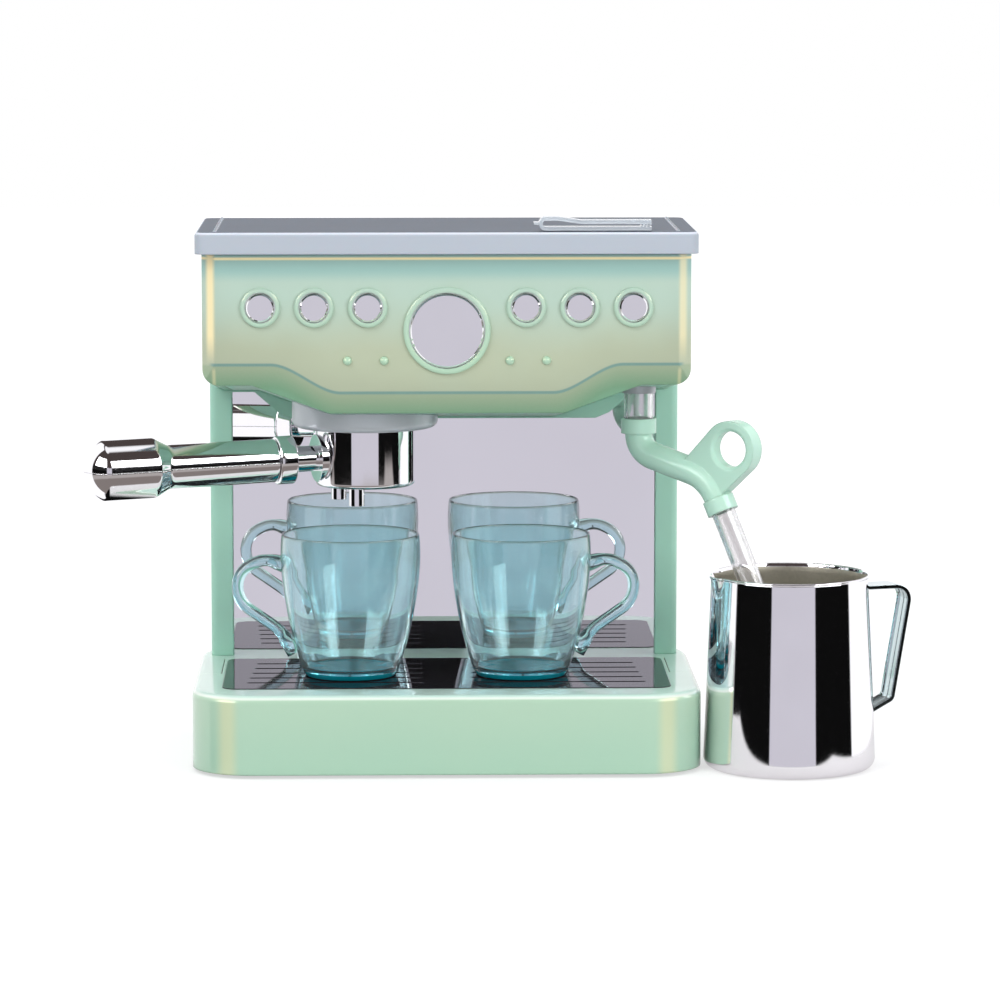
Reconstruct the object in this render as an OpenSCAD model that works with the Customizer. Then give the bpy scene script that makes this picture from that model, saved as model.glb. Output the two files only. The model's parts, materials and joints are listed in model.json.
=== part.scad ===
// Play espresso machine with two mugs, a milk pitcher and a pair of tongs.
// Millimetres. +X is to the right, +Y to the back, +Z up. The origin is the
// centre of the base's flat underside. Setbacks are measured from the front.

/* [Base] */
// Width of the base
base_w = 220; // [210:2:240]
// Depth of the base
base_d = 145; // [143:1:170]
// Height of the base's top above its underside
base_h = 34.6; // [30:0.2:40]
// Radius of the base's upright corners
base_corner_r = 26; // [12:1:30]
// Rounding of the base's top edge
base_edge_r = 3.5; // [1:0.5:5]
// Thickness of the moulded walls
wall = 2.4; // [1.8:0.1:3]
// Thickness of the bottom cover
floor_t = 2.6; // [2:0.1:3.2]
// Height that the feet stand proud of the underside
foot_h = 1; // [0.5:0.1:2]
// Radius of a foot
foot_r = 7; // [5:0.5:9]
// Gap between pieces that slide or lift apart
slide_gap = 0.3; // [0.2:0.05:0.5]

/* [Drip tray] */
// Depth of the tray's full-width front
tray_front_d = 62; // [50:1:70]
// Width of the tray's rim at each end of the plate
tongue_rim = 1.5; // [1:0.1:3]
// Setback of the tongue's rear end
tongue_end = 104; // [100:1:108]
// Distance of the plate's ends from the base's sides
plate_side = 13; // [12:0.5:20]
// Setback of the plate's front edge
plate_front = 19.5; // [16:0.5:24]
// Depth of the plate
plate_d = 83; // [70:1:83]
// Thickness of the plate
plate_t = 2; // [1.5:0.1:3]
// Height that the plate stands above the base's top
plate_proud = 0.3; // [0.1:0.1:1]
// Radius of the plate's corners
plate_corner_r = 6; // [2:0.5:10]
// Number of slots in each group
slot_count = 5; // [3:1:7]
// Length of the middle slot
slot_len = 74.8; // [40:0.2:76]
// Width of a slot
slot_w = 2.4; // [1.6:0.2:3.2]
// Length that each slot gains over the one behind it
slot_flare = 0.7; // [0:0.1:1]
// Distance from slot to slot
slot_pitch = 13; // [11:0.5:14]

/* [Column] */
// Width of a pillar beside the mirror
pillar_w = 10; // [9:0.5:14]
// Depth that the pillars stand in front of the mirror
pillar_proud = 4; // [2:0.5:6]
// Distance of the mirror's face from the back of the base
mirror_back = 28; // [26:0.5:32]
// Thickness of the mirror
mirror_t = 1.8; // [1.2:0.1:2.4]
// Radius of the pillars' outer edges
pillar_r = 3; // [1:0.5:5]
// Depth of the column behind the mirror's face
column_d = 16; // [15:0.5:20]
// Depth of the rear cover
rear_d = 8; // [7:0.5:9]
// Radius of the rear cover's upright edges
rear_corner_r = 6; // [3:0.5:10]

/* [Head] */
// Width of the head
head_w = 208; // [200:1:210]
// Height of the head's top
head_top = 223.2; // [215:0.2:230]
// Setback of the button panel
panel_setback = 5; // [4:0.5:8]
// Height of the belly's lower edge in the middle, at the front
belly_z = 155; // [150:0.5:158]
// Height of the belly's lower edge at the sides, at the front
flank_z = 167; // [162:0.5:170]
// Half width of the belly's flat bottom
belly_half_w = 50; // [40:1:56]
// Width of the flat flank on either side of the belly
flank_w = 21; // [16:1:26]
// Height of the bevelled band under the button panel
band_h = 9.5; // [7:0.5:12]
// Depth of the bevels round the button panel
bevel_d = 5.5; // [3:0.5:7]
// Slope of the head's underside, in degrees
belly_tilt = 6.7; // [4:0.1:7]
// Radius of the head's lower outer edges
head_edge_r = 7; // [5:0.5:9]

/* [Controls] */
// Radius of a small button's cap
button_r = 6.15; // [4:0.05:7]
// Radius of a small button's ring
button_ring_r = 8.4; // [8:0.1:9.5]
// Distance of the outer buttons from the panel's side
button_side = 19.3; // [14:0.1:24]
// Half distance between the two inner small buttons
button_inner_x = 33.6; // [32:0.1:36]
// Height of the small buttons
button_z = 200.6; // [196:0.1:204]
// Travel of a small button
button_travel = 1.5; // [1:0.1:2]
// Radius of the main button's cap
main_r = 15.8; // [12:0.1:17]
// Radius of the main button's ring
main_ring_r = 18.5; // [18:0.1:20]
// Height of the main button
main_z = 190.8; // [188:0.1:194]
// Travel of the main button
main_travel = 2.5; // [1:0.1:3]
// Height that the caps stand proud of the panel
cap_proud = 2.2; // [1.6:0.1:3]
// Height that the rings stand proud of the panel
ring_proud = 1.6; // [0.8:0.1:2]
// Radius of a pilot stud's dome
stud_r = 1.9; // [1.5:0.1:2.5]
// Height of the pilot studs
stud_z = 178; // [177:0.1:182]
// Setback of the circuit board
board_setback = 22; // [21:0.5:26]

/* [Lid] */
// Overhang of the lid past the head's sides
lid_over = 2.7; // [1.8:0.1:4]
// Depth of the lid
lid_d = 102; // [96:1:106]
// Height of the lid
lid_h = 9.3; // [8:0.1:12]
// Thickness of the lid's walls
lid_wall = 1.8; // [1.4:0.1:2]
// Radius of the lid's upright corners
lid_corner_r = 5; // [4:0.5:8]
// Rounding of the lid's top edge
lid_edge_r = 1.6; // [1:0.1:3]
// Distance of the lid's ridges from its sides
ridge_inset = 8.5; // [6:0.5:14]
// Height of the lid's ridges
ridge_h = 0.5; // [0.3:0.1:1]

/* [Group] */
// Sideways place of the brew group
group_x = -35.2; // [-40:0.2:-30]
// Setback of the brew group and of the mugs
group_setback = 57; // [54:0.5:60]
// Radius of the group collar
collar_r = 31.8; // [30:0.1:34]
// Height of the collar's lower face
collar_z = 144.6; // [143:0.1:147]
// Radius of the filter cup
cup_r = 21.8; // [18:0.1:22]
// Height of the filter cup's underside
cup_z = 119; // [118:0.5:124]
// Height of the filter cup
cup_h = 36; // [35:0.5:37]
// Radius of a pouring spout
spout_r = 3.4; // [2.6:0.1:4]
// Height of the spouts' tips
spout_z = 111.4; // [110.5:0.1:114]
// Distance from spout to spout
spout_pitch = 26; // [20:0.5:28]
// Direction of the filter handle, in degrees from +X
handle_dir = 198; // [190:1:205]
// Droop of the filter handle, in degrees
handle_droop = 1.1; // [0:0.1:3]

/* [Steam wand] */
// Distance of the wand's swivel from the head's side
wand_inset = 19.6; // [18:0.1:22]
// Setback of the wand's swivel
wand_setback = 58; // [55:0.5:60]
// Direction of the wand, in degrees from +X
wand_dir = -35; // [-40:1:-30]
// Radius of the wand's upper tube
wand_tube_r = 6.4; // [5:0.1:6.6]
// Radius of the wand's bent pipe
pipe_r = 6; // [5:0.1:6.5]
// Radius of the wand's lower tube
tip_r = 5.2; // [4:0.1:5.4]
// Length of the lower tube below its collar
tip_len = 41; // [36:1:43]
// Radius of the finger ring's hole
ring_hole_r = 7.8; // [7:0.1:9]
// Radius of the finger ring
ring_r = 12.3; // [11.5:0.1:14]

/* [Mugs] */
// Height of a mug
mug_h = 62.3; // [55:0.5:63]
// Radius of a mug's rim
mug_rim_r = 30.1; // [26:0.1:31]
// Radius of a mug's foot
mug_foot_r = 20.1; // [16:0.1:21]
// Thickness of a mug's wall
mug_wall = 1.6; // [1.2:0.1:2.4]
// Thickness of a mug's bottom
mug_bottom = 3; // [2:0.5:5]
// Sideways place of the left mug
mug_left_x = -41.8; // [-44:0.2:-38]
// Sideways place of the right mug
mug_right_x = 33; // [30:0.5:36]

/* [Pitcher] */
// Gap between the pitcher and the base's side
pitcher_gap = 1.3; // [0.8:0.1:8]
// Setback of the pitcher
pitcher_setback = 26; // [20:0.5:30]
// Radius of the pitcher near its bottom
pitcher_r = 37.2; // [34:0.1:37.4]
// Radius of the pitcher's rim
pitcher_rim_r = 34.1; // [31:0.1:35]
// Height of the pitcher
pitcher_h = 84.5; // [76:0.5:88]
// Thickness of the pitcher's wall
pitcher_wall = 1.3; // [1:0.1:2]
// Direction of the pitcher's handle, in degrees from +X
pitcher_dir = 17; // [10:1:25]
// Width of the pitcher's handle
pitcher_handle_w = 12; // [8:0.5:14]

/* [Hidden] */

mint = [0.65, 0.83, 0.72];
mint_deep = [0.58, 0.80, 0.70];
silver = [0.80, 0.79, 0.82];
smoke = [0.33, 0.34, 0.38];
aqua = [0.45, 0.75, 0.78, 0.6];
clear = [0.85, 0.87, 0.90, 0.5];
black = [0.12, 0.12, 0.13];

$fn = 64;
eps = 0.01;
big = 400;
fit_gap = 0.1;

front_y = -base_d / 2;
panel_y = front_y + panel_setback;
mirror_y = base_d / 2 - mirror_back;
split_y = mirror_y + column_d;
rear_y = split_y + rear_d;
column_y = mirror_y - pillar_proud;
column_w = head_w + 2;
mirror_w = column_w - 2 * pillar_w;
backing_y = mirror_y + mirror_t;
brew_y = front_y + group_setback;
deck_z = base_h;
plate_z = base_h + plate_proud - plate_t;
tray_deck_t = plate_t + wall;
tray_floor_z = floor_t + slide_gap;
plate_w = base_w - 2 * plate_side;
tongue_w = plate_w + 2 * tongue_rim;
basin_w = plate_w - 10;
basin_front = plate_front + 5;
mug_z = base_h + plate_proud + slide_gap;

band_angle = atan(bevel_d / band_h);
panel_half_w = head_w / 2 - bevel_d;
flank_half_w = head_w / 2 - flank_w;
belly_edge_y = panel_y + bevel_d;
crease_inner = belly_half_w - 1;
crease_outer = crease_inner + 22;
floor_half_w = head_w / 2 - head_edge_r - wall;
wand_x = head_w / 2 - wand_inset;

lid_w = head_w + 2 * lid_over;
lid_z = head_top + slide_gap;
lid_top = lid_z + lid_h;

button_pitch = (panel_half_w - button_side - button_inner_x) / 2;
button_x = [for (side = [-1, 1], i = [0:2]) side * (button_inner_x + i * button_pitch)];
stud_x = [-42.3, -26.7, 26.7, 42.3];
ring_sleeve_end = wall + 1;
switch_tip = board_setback - 5;
board_t = 1.6;

collar_bore_r = 24.4;
lock_z = collar_z + 2;
lock_h = 9;
barrel_r = 27.5;
barrel_top = collar_z + 18;

/* Shared shapes */

module rounded_rect(w, d, r) {
    square([w - 2 * r, d], center = true);
    square([w, d - 2 * r], center = true);
    for (x = [-1, 1], y = [-1, 1])
        translate([x * (w / 2 - r), y * (d / 2 - r)]) circle(r);
}

// Square of size r whose inner corner keeps a quarter circle
module corner_waste(r) {
    difference() {
        square(r + 1);
        circle(r);
    }
}

// Half section of a block with a rounded top edge
module edge_profile(half_w, h, r) {
    difference() {
        square([half_w, h]);
        translate([half_w - r, h - r]) corner_waste(r);
    }
}

module soft_profile(w, h, r) {
    difference() {
        translate([-w / 2, 0]) square([w, h]);
        translate([w / 2 - r, h - r]) corner_waste(r);
        mirror([1, 0]) translate([w / 2 - r, h - r]) corner_waste(r);
    }
}

// Block with round upright corners and a round top edge
module soft_block(w, d, h, corner_r, edge_r) {
    for (x = [-1, 1], y = [-1, 1])
        translate([x * (w / 2 - corner_r), y * (d / 2 - corner_r), 0])
            rotate_extrude() edge_profile(corner_r, h, edge_r);
    rotate([90, 0, 90]) linear_extrude(w - 2 * corner_r, center = true) soft_profile(d, h, edge_r);
    rotate([90, 0, 0]) linear_extrude(d - 2 * corner_r, center = true) soft_profile(w, h, edge_r);
}

// Box given by its lowest and highest corners
module span(low, high) {
    translate(low) cube(high - low);
}

// Cylinder that runs back along +Y from a setback
module back_cylinder(x, z, y0, y1, r) {
    translate([x, y0, z]) rotate([-90, 0, 0]) cylinder(h = y1 - y0, r = r);
}

function unit(v) = v / norm(v);
function heading(v) = atan2(v[1], v[0]);
function turn(a, b) = atan2(a[0] * b[1] - a[1] * b[0], a * b);
function arc(centre, r, a0, a1, n) = [for (i = [0:n]) centre + r * [cos(a0 + (a1 - a0) * i / n),
    sin(a0 + (a1 - a0) * i / n)]];

// Arc that rounds the corner b between a and c
function corner_arc(a, b, c, r, n) = let (bend = turn(b - a, c - b), side = sign(bend),
    u = unit(b - a), start = heading(u) - 90 * side)
    arc(b - u * r * tan(abs(bend) / 2) + side * r * [-u[1], u[0]], r, start, start + bend, n);

// Path through points with each inner corner rounded by its radius
function rounded_path(points, radii, n) = let (last = len(points) - 1) concat([points[0]],
    [for (i = [1:last - 1]) each corner_arc(points[i - 1], points[i], points[i + 1], radii[i], n)],
    [points[last]]);

function path_normal(path, i) = let (
    d = unit(path[min(i + 1, len(path) - 1)] - path[max(i - 1, 0)])) [-d[1], d[0]];

// Outline of a strip of thickness t along a path
function strip(path, t) = let (last = len(path) - 1) concat(
    [for (i = [0:last]) path[i] + path_normal(path, i) * t / 2],
    [for (i = [last:-1:0]) path[i] - path_normal(path, i) * t / 2]);

// Bar of a section swept along a path in the XZ plane
module sweep(path, section) {
    n = len(section);
    last = len(path) - 1;
    rings = [for (i = [0:last], s = section) let (m = path_normal(path, i))
        [path[i][0] + m[0] * s[0], s[1], path[i][1] + m[1] * s[0]]];
    sides = [for (i = [0:last - 1], k = [0:n - 1]) let (a = i * n + k, b = i * n + (k + 1) % n)
        each [[a, b, b + n], [a, b + n, a + n]]];
    polyhedron(rings, concat(sides, [[for (k = [n - 1:-1:0]) k]], [[for (k = [0:n - 1]) last * n + k]]));
}

function ring_section(r, n) = [for (k = [0:n - 1]) r * [cos(k * 360 / n), sin(k * 360 / n)]];

function bezier(p, t) = pow(1 - t, 3) * p[0] + 3 * t * pow(1 - t, 2) * p[1]
    + 3 * t * t * (1 - t) * p[2] + t * t * t * p[3];

/* Base */

// Whole base outline, shrunk by inset
module base_body(inset) {
    soft_block(base_w - 2 * inset, base_d - 2 * inset, base_h - inset, base_corner_r - inset,
        max(0.5, base_edge_r - inset));
}

module cover_plan(gap) {
    inset = wall + slide_gap - gap;
    rounded_rect(base_w - 2 * inset, base_d - 2 * inset, base_corner_r - inset);
}

foot_places = [for (x = [-1, 1], y = [-1, 1]) [x * (base_w / 2 - 22), y * (base_d / 2 - 20)]];
screw_places = [[-82, base_d / 2 - 12], [82, base_d / 2 - 12], [-30, base_d / 2 - 12],
    [30, base_d / 2 - 12]];
boss_r = 3.6;
screw_r = 1.4;
screw_head_r = 2.8;
screw_len = 10;
screw_head_h = 1.6;

module base_cover() {
    color(mint_deep) difference() {
        linear_extrude(floor_t) cover_plan(0);
        for (p = foot_places)
            translate([p[0], p[1], -eps]) cylinder(h = foot_h + eps, r = foot_r + fit_gap);
        for (p = screw_places) translate([p[0], p[1], -eps]) {
            cylinder(h = floor_t + 1, r = screw_r + fit_gap);
            cylinder(h = screw_head_h + eps, r = screw_head_r + fit_gap);
        }
    }
}

module feet() {
    color(black) for (p = foot_places)
        translate([p[0], p[1], -foot_h]) cylinder(h = 2 * foot_h, r = foot_r);
}

module base_screws() {
    color(silver) for (p = screw_places) translate([p[0], p[1], 0]) {
        cylinder(h = screw_head_h, r = screw_head_r);
        cylinder(h = screw_len, r = screw_r);
    }
}

// Space that the drip tray's tongue slides in, grown by a gap
module tongue_space(gap) {
    span([-tongue_w / 2 - gap, front_y - 1, -1],
        [tongue_w / 2 + gap, front_y + tongue_end + gap, base_h + 1]);
}

module base_shell() {
    arm_y = front_y + tray_front_d + slide_gap;
    color(mint) difference() {
        union() {
            difference() {
                intersection() {
                    base_body(0);
                    span([-big, arm_y, -1], [big, big, big]);
                }
                difference() {
                    intersection() {
                        translate([0, 0, -eps]) base_body(wall);
                        span([-big, arm_y + wall, -1], [big, big, big]);
                    }
                    tongue_space(slide_gap + wall);
                }
            }
            for (p = screw_places) translate([p[0], p[1], floor_t])
                cylinder(h = base_h - wall - floor_t + eps, r = boss_r);
        }
        tongue_space(slide_gap);
        translate([0, 0, -1]) linear_extrude(floor_t + 1) cover_plan(slide_gap);
        for (p = screw_places) translate([p[0], p[1], 0])
            cylinder(h = screw_len + 1, r = screw_r + 0.05);
    }
}

/* Drip tray */

module drip_tray() {
    tongue_y = front_y + tray_front_d;
    end_y = front_y + tongue_end;
    basin_y = front_y + basin_front;
    color(mint) difference() {
        union() {
            difference() {
                intersection() {
                    base_body(0);
                    span([-big, -big, 0.4], [big, tongue_y, big]);
                }
                intersection() {
                    translate([0, 0, -eps]) base_body(wall);
                    span([-big, -big, -1], [big, tongue_y - wall, big]);
                }
            }
            span([-tongue_w / 2, tongue_y - wall, base_h - tray_deck_t],
                [tongue_w / 2, end_y, base_h]);
            span([-plate_w / 2 - 1, front_y + plate_front - 2, base_h - tray_deck_t],
                [plate_w / 2 + 1, tongue_y, base_h - 0.5]);
            span([-basin_w / 2 - wall, basin_y - wall, tray_floor_z],
                [basin_w / 2 + wall, end_y, base_h - 0.5]);
        }
        span([-basin_w / 2, basin_y, tray_floor_z + 2],
            [basin_w / 2, end_y - wall - 2, base_h + 1]);
        translate([0, front_y + plate_front + plate_d / 2, plate_z])
            linear_extrude(plate_t + 1)
                rounded_rect(plate_w + 2 * fit_gap, plate_d + 2 * fit_gap, plate_corner_r + fit_gap);
        translate([0, 0, -1]) linear_extrude(tray_floor_z + 1) cover_plan(slide_gap);
    }
}

// Slot with round ends, whose inner end keeps its place whatever its length
module tray_slot(len) {
    translate([plate_w / 4 - 0.6 + (len - slot_len) / 2, 0, -1]) linear_extrude(plate_t + 2) {
        square([len - slot_w, slot_w], center = true);
        for (x = [-1, 1]) translate([x * (len - slot_w) / 2, 0]) circle(slot_w / 2);
    }
}

// Slots that run from side to side, one group on each side of the middle, longer towards the front
module tray_slots() {
    middle = (slot_count - 1) / 2;
    for (side = [0, 1], i = [0:slot_count - 1]) mirror([side, 0, 0])
        translate([0, (i - middle) * slot_pitch, 0]) tray_slot(slot_len + slot_flare * (middle - i));
}

module tray_plate() {
    color(smoke) translate([0, front_y + plate_front + plate_d / 2, plate_z]) difference() {
        linear_extrude(plate_t) rounded_rect(plate_w, plate_d, plate_corner_r);
        tray_slots();
    }
}

/* Head */

// Outline of the head seen from the front, open upwards, shrunk by inset
function belly_outline(half_w, inset, r) = let (low = flank_z + inset, mid = belly_z + inset) concat(
    [[-half_w, big]],
    r > 0 ? arc([-half_w + r, low + r], r, 180, 270, 8) : [[-half_w, low]],
    [[-flank_half_w, low], [-belly_half_w, mid], [belly_half_w, mid], [flank_half_w, low]],
    r > 0 ? arc([half_w - r, low + r], r, 270, 360, 8) : [[half_w, low]],
    [[half_w, big]]);

// That outline, run back along the sloping underside
module belly_prism(half_w, inset, r) {
    points = [for (p = belly_outline(half_w, inset, r)) [p[0], p[1] * cos(belly_tilt)]];
    translate([0, belly_edge_y, 0]) rotate([90 - belly_tilt, 0, 0])
        linear_extrude(big, center = true) polygon(points);
}

module crease_cut(x, z, rise, inset) {
    translate([x, panel_y, z]) rotate([0, -rise, 0]) rotate([band_angle, 0, 0])
        span([-head_w, -base_d, -head_w], [head_w, inset, head_w]);
}

// Waste in front of the band that slopes back under the button panel
module band_cut(inset) {
    rise = atan((flank_z - belly_z) / (crease_outer - crease_inner));
    crease_cut(0, belly_z + band_h, 0, inset);
    for (side = [0, 1]) mirror([side, 0, 0]) intersection() {
        crease_cut(crease_inner, belly_z + band_h, rise, inset);
        crease_cut(crease_outer, flank_z + band_h, 0, inset);
    }
}

// Upright prism of the head's plan, with bevelled front corners; inner prisms are open behind
module head_plan(inset, top) {
    half = head_w / 2 - inset;
    slip = inset * tan(22.5);
    back = split_y + (inset > 0 ? 1 : 0);
    linear_extrude(top) polygon([[-panel_half_w + slip, panel_y + inset],
        [panel_half_w - slip, panel_y + inset], [half, belly_edge_y + slip], [half, back],
        [-half, back], [-half, belly_edge_y + slip]]);
}

module head_solid(inset) {
    difference() {
        intersection() {
            head_plan(inset, head_top - inset);
            belly_prism(head_w / 2 - inset, inset, head_edge_r - inset);
        }
        band_cut(inset);
    }
}

// Opening in the head's underside that its floor closes
module floor_bay(gap) {
    difference() {
        head_plan(wall + gap, head_top - wall - gap);
        band_cut(wall + gap);
        for (side = [0, 1]) mirror([side, 0, 0])
            span([floor_half_w - gap, -big, 0], [big, big, big]);
    }
}

board_post_x = button_inner_x + 1.5 * button_pitch;
board_post_places = [for (x = [-1, 1], z = [183, 207]) [x * board_post_x, z]];
board_low = 175;
board_high = 214;
board_half_w = 86;

module head_shell() {
    rim_w = head_w - 2;
    rim_front = 11.5;
    rim_back = lid_d - 3;
    color(mint) difference() {
        union() {
            difference() {
                head_solid(0);
                head_solid(wall);
                floor_bay(0);
            }
            // Locating rim inside the lid's skirt
            difference() {
                span([-rim_w / 2, front_y + rim_front, head_top - eps],
                    [rim_w / 2, front_y + rim_back, head_top + 3]);
                span([-rim_w / 2 + 2, front_y + rim_front + 2, head_top - 1],
                    [rim_w / 2 - 2, front_y + rim_back - 2, head_top + 4]);
            }
            // Posts that the circuit board sits on
            for (p = board_post_places)
                back_cylinder(p[0], p[1], panel_y + wall - eps, front_y + board_setback, 3);
            // Ears that the rear cover's upper screws bite into
            for (side = [-1, 1]) {
                back_cylinder(side * column_screw_x, head_screw_z, split_y - 14, rear_y - wall, boss_r);
                span([side > 0 ? column_screw_x : 1 - head_w / 2, split_y - 14, head_screw_z - boss_r],
                    [side > 0 ? head_w / 2 - 1 : -column_screw_x, split_y, head_screw_z + boss_r]);
            }
        }
        for (x = button_x)
            back_cylinder(x, button_z, panel_y - 1, panel_y + wall + 1, button_ring_r - 1);
        back_cylinder(0, main_z, panel_y - 1, panel_y + wall + 1, main_ring_r - 1);
        for (x = stud_x)
            back_cylinder(x, stud_z, panel_y - 1, panel_y + wall + 1, stud_r - 0.6);
        for (side = [-1, 1])
            back_cylinder(side * column_screw_x, head_screw_z, split_y - 10, rear_y + 1,
                screw_r + 0.05);
    }
}

module head_floor() {
    color(mint_deep) difference() {
        intersection() {
            floor_bay(fit_gap);
            belly_prism(head_w / 2, 0, 0);
            span([-big, -big, 0], [big, split_y - fit_gap, big]);
        }
        belly_prism(head_w / 2 + 10, wall, 0);
        translate([group_x, brew_y, 100]) cylinder(h = 100, r = barrel_r + fit_gap);
        translate([wand_x, front_y + wand_setback, 100])
            cylinder(h = 100, r = gland_r + fit_gap);
    }
}

/* Column, mirror and rear cover */

// Height of the mirror's top edge at its sides and in the middle
arch_side_z = flank_z - 13;
arch_mid_z = belly_z - 13;
arch_outer = flank_half_w + 2;
arch_inner = flank_half_w - 9;
function mirror_outline(gap) = [[-mirror_w / 2 + gap, base_h], [mirror_w / 2 - gap, base_h],
    [mirror_w / 2 - gap, arch_side_z - gap], [arch_outer, arch_side_z - gap],
    [arch_inner, arch_mid_z + 2.5 - gap], [arch_inner - 6, arch_mid_z - gap],
    [6 - arch_inner, arch_mid_z - gap], [-arch_inner, arch_mid_z + 2.5 - gap],
    [-arch_outer, arch_side_z - gap], [-mirror_w / 2 + gap, arch_side_z - gap]];

module mirror_shape(gap, y0, y1) {
    translate([0, y1, 0]) rotate([90, 0, 0]) linear_extrude(y1 - y0)
        polygon(mirror_outline(gap));
}

column_screw_x = column_w / 2 - 9;
column_screws = [for (x = [-1, 1], z = [base_h + 17.4, flank_z - 39]) [x * column_screw_x, z]];
head_screw_z = head_top - 17.6;

module column_plan() {
    difference() {
        translate([-column_w / 2, column_y]) square([column_w, split_y - column_y]);
        for (side = [0, 1]) mirror([side, 0])
            translate([column_w / 2 - pillar_r, column_y + pillar_r]) mirror([0, 1]) corner_waste(pillar_r);
    }
}

module column_frame() {
    inner = column_w / 2 - wall;
    pillar_in = mirror_w / 2 + wall;
    color(mint) difference() {
        union() {
            difference() {
                translate([0, 0, base_h]) linear_extrude(flank_z - base_h) column_plan();
                span([-inner, backing_y + wall, base_h + wall], [inner, split_y + 1, big]);
                for (side = [0, 1]) mirror([side, 0, 0])
                    span([pillar_in, column_y + wall, base_h + wall],
                        [inner, backing_y + wall + 1, big]);
            }
            for (p = column_screws)
                back_cylinder(p[0], p[1], backing_y + wall - eps, rear_y - wall, boss_r);
        }
        mirror_shape(0, column_y - 1, backing_y);
        belly_prism(head_w / 2, 0, head_edge_r);
        belly_prism(big / 2, 0.6 * head_edge_r, 0);
        for (p = column_screws)
            back_cylinder(p[0], p[1], backing_y + wall + 2, rear_y + 1, screw_r + 0.05);
    }
}

module mirror_panel() {
    color(silver) mirror_shape(fit_gap, mirror_y, backing_y);
}

rear_screw_places = concat(column_screws, [for (x = [-1, 1]) [x * column_screw_x, head_screw_z]]);
door_w = 56;
door_h = 46;
box_lap = 3;
door_z = 88;
grille_z = 176;

module rear_cover() {
    tall = head_top - base_h + rear_corner_r;
    color(mint) difference() {
        intersection() {
            translate([0, split_y, head_top - tall / 2]) rotate([-90, 0, 0])
                soft_block(head_w, tall, rear_d, rear_corner_r, 3);
            span([-big, -big, base_h], [big, big, big]);
        }
        intersection() {
            translate([0, split_y - 1, head_top - tall / 2]) rotate([-90, 0, 0]) soft_block(
                head_w - 2 * wall, tall - 2 * wall, rear_d + 1 - wall, rear_corner_r - wall, 1);
            span([-big, -big, base_h + wall], [big, big, big]);
        }
        span([-door_w / 2, split_y, door_z - door_h / 2], [door_w / 2, rear_y + 1, door_z + door_h / 2]);
        for (p = rear_screw_places) {
            back_cylinder(p[0], p[1], rear_y - wall - 1, rear_y + 1, screw_r + fit_gap);
            back_cylinder(p[0], p[1], rear_y - screw_head_h, rear_y + 1, screw_head_r + fit_gap);
        }
        for (i = [-3:3], j = [-3:3]) if (norm([i, j]) < 3.5)
            back_cylinder(i * 4.6, grille_z + j * 4.6, split_y, rear_y + 1, 1.2);
    }
}

module rear_screws() {
    color(silver) for (p = rear_screw_places) {
        back_cylinder(p[0], p[1], rear_y - screw_head_h, rear_y, screw_head_r);
        back_cylinder(p[0], p[1], rear_y - screw_len, rear_y, screw_r);
    }
}

cell_r = 7.1;
cell_len = 50;
box_wall = 1.2;
box_front = backing_y + wall + 0.2;
box_back = rear_y - wall;

module battery_box() {
    half = door_w / 2 + box_lap;
    tall = door_h / 2 + box_lap;
    color(black) difference() {
        span([-half, box_front, door_z - tall], [half, box_back, door_z + tall]);
        span([-half + box_wall, box_front + box_wall, door_z - tall + box_wall],
            [half - box_wall, box_back + 1, door_z + tall - box_wall]);
    }
}

module batteries() {
    color(smoke) for (i = [-1:1])
        translate([-cell_len / 2, box_front + box_wall + cell_r, door_z + i * (2 * cell_r + 0.4)])
            rotate([0, 90, 0]) {
                cylinder(h = cell_len - 1, r = cell_r);
                cylinder(h = cell_len, r = 2.6);
            }
}

module battery_door() {
    color(mint) difference() {
        span([-door_w / 2 + fit_gap, rear_y - wall, door_z - door_h / 2 + fit_gap],
            [door_w / 2 - fit_gap, rear_y, door_z + door_h / 2 - fit_gap]);
        for (i = [0:3]) span([-12, rear_y - 0.6, door_z + 14 + i * 2.4],
            [12, rear_y + 1, door_z + 15 + i * 2.4]);
    }
}

cone_r = 18;
cone_t = 3;
magnet_r = 10;
magnet_t = 6;

module speaker() {
    color(black) {
        back_cylinder(0, grille_z, split_y + rear_d - wall - cone_t, split_y + rear_d - wall, cone_r);
        back_cylinder(0, grille_z, split_y - magnet_t, split_y + rear_d - wall - cone_t + eps, magnet_r);
    }
}

/* Controls */

module circuit_board() {
    color("darkgreen") span([-board_half_w, front_y + board_setback, board_low],
        [board_half_w, front_y + board_setback + board_t, board_high]);
}

module switches() {
    color(black) {
        for (x = button_x) switch_body(x, button_z);
        switch_body(0, main_z);
    }
}

module switch_body(x, z) {
    y = front_y + board_setback;
    span([x - 3, y - 3.6, z - 3], [x + 3, y, z + 3]);
    back_cylinder(x, z, y - 5, y - 3.6 + eps, 1.75);
}

// Ring that lines a button's hole: a rounded bead in front and a sleeve through the panel
module button_ring(x, z, outer, inner) {
    translate([x, panel_y, z]) rotate([90, 0, 0]) rotate_extrude() difference() {
        union() {
            translate([inner, 0]) square([outer - inner, ring_proud]);
            translate([inner, -ring_sleeve_end]) square([outer - 1 - fit_gap - inner, ring_sleeve_end + 1]);
        }
        translate([outer - 0.8, ring_proud - 0.8]) corner_waste(0.8);
    }
}

module button_rings() {
    color(mint_deep) for (x = button_x)
        button_ring(x, button_z, button_ring_r, button_r + slide_gap);
}

module main_button_ring() {
    color(mint_deep) button_ring(0, main_z, main_ring_r, main_r + slide_gap);
}

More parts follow.
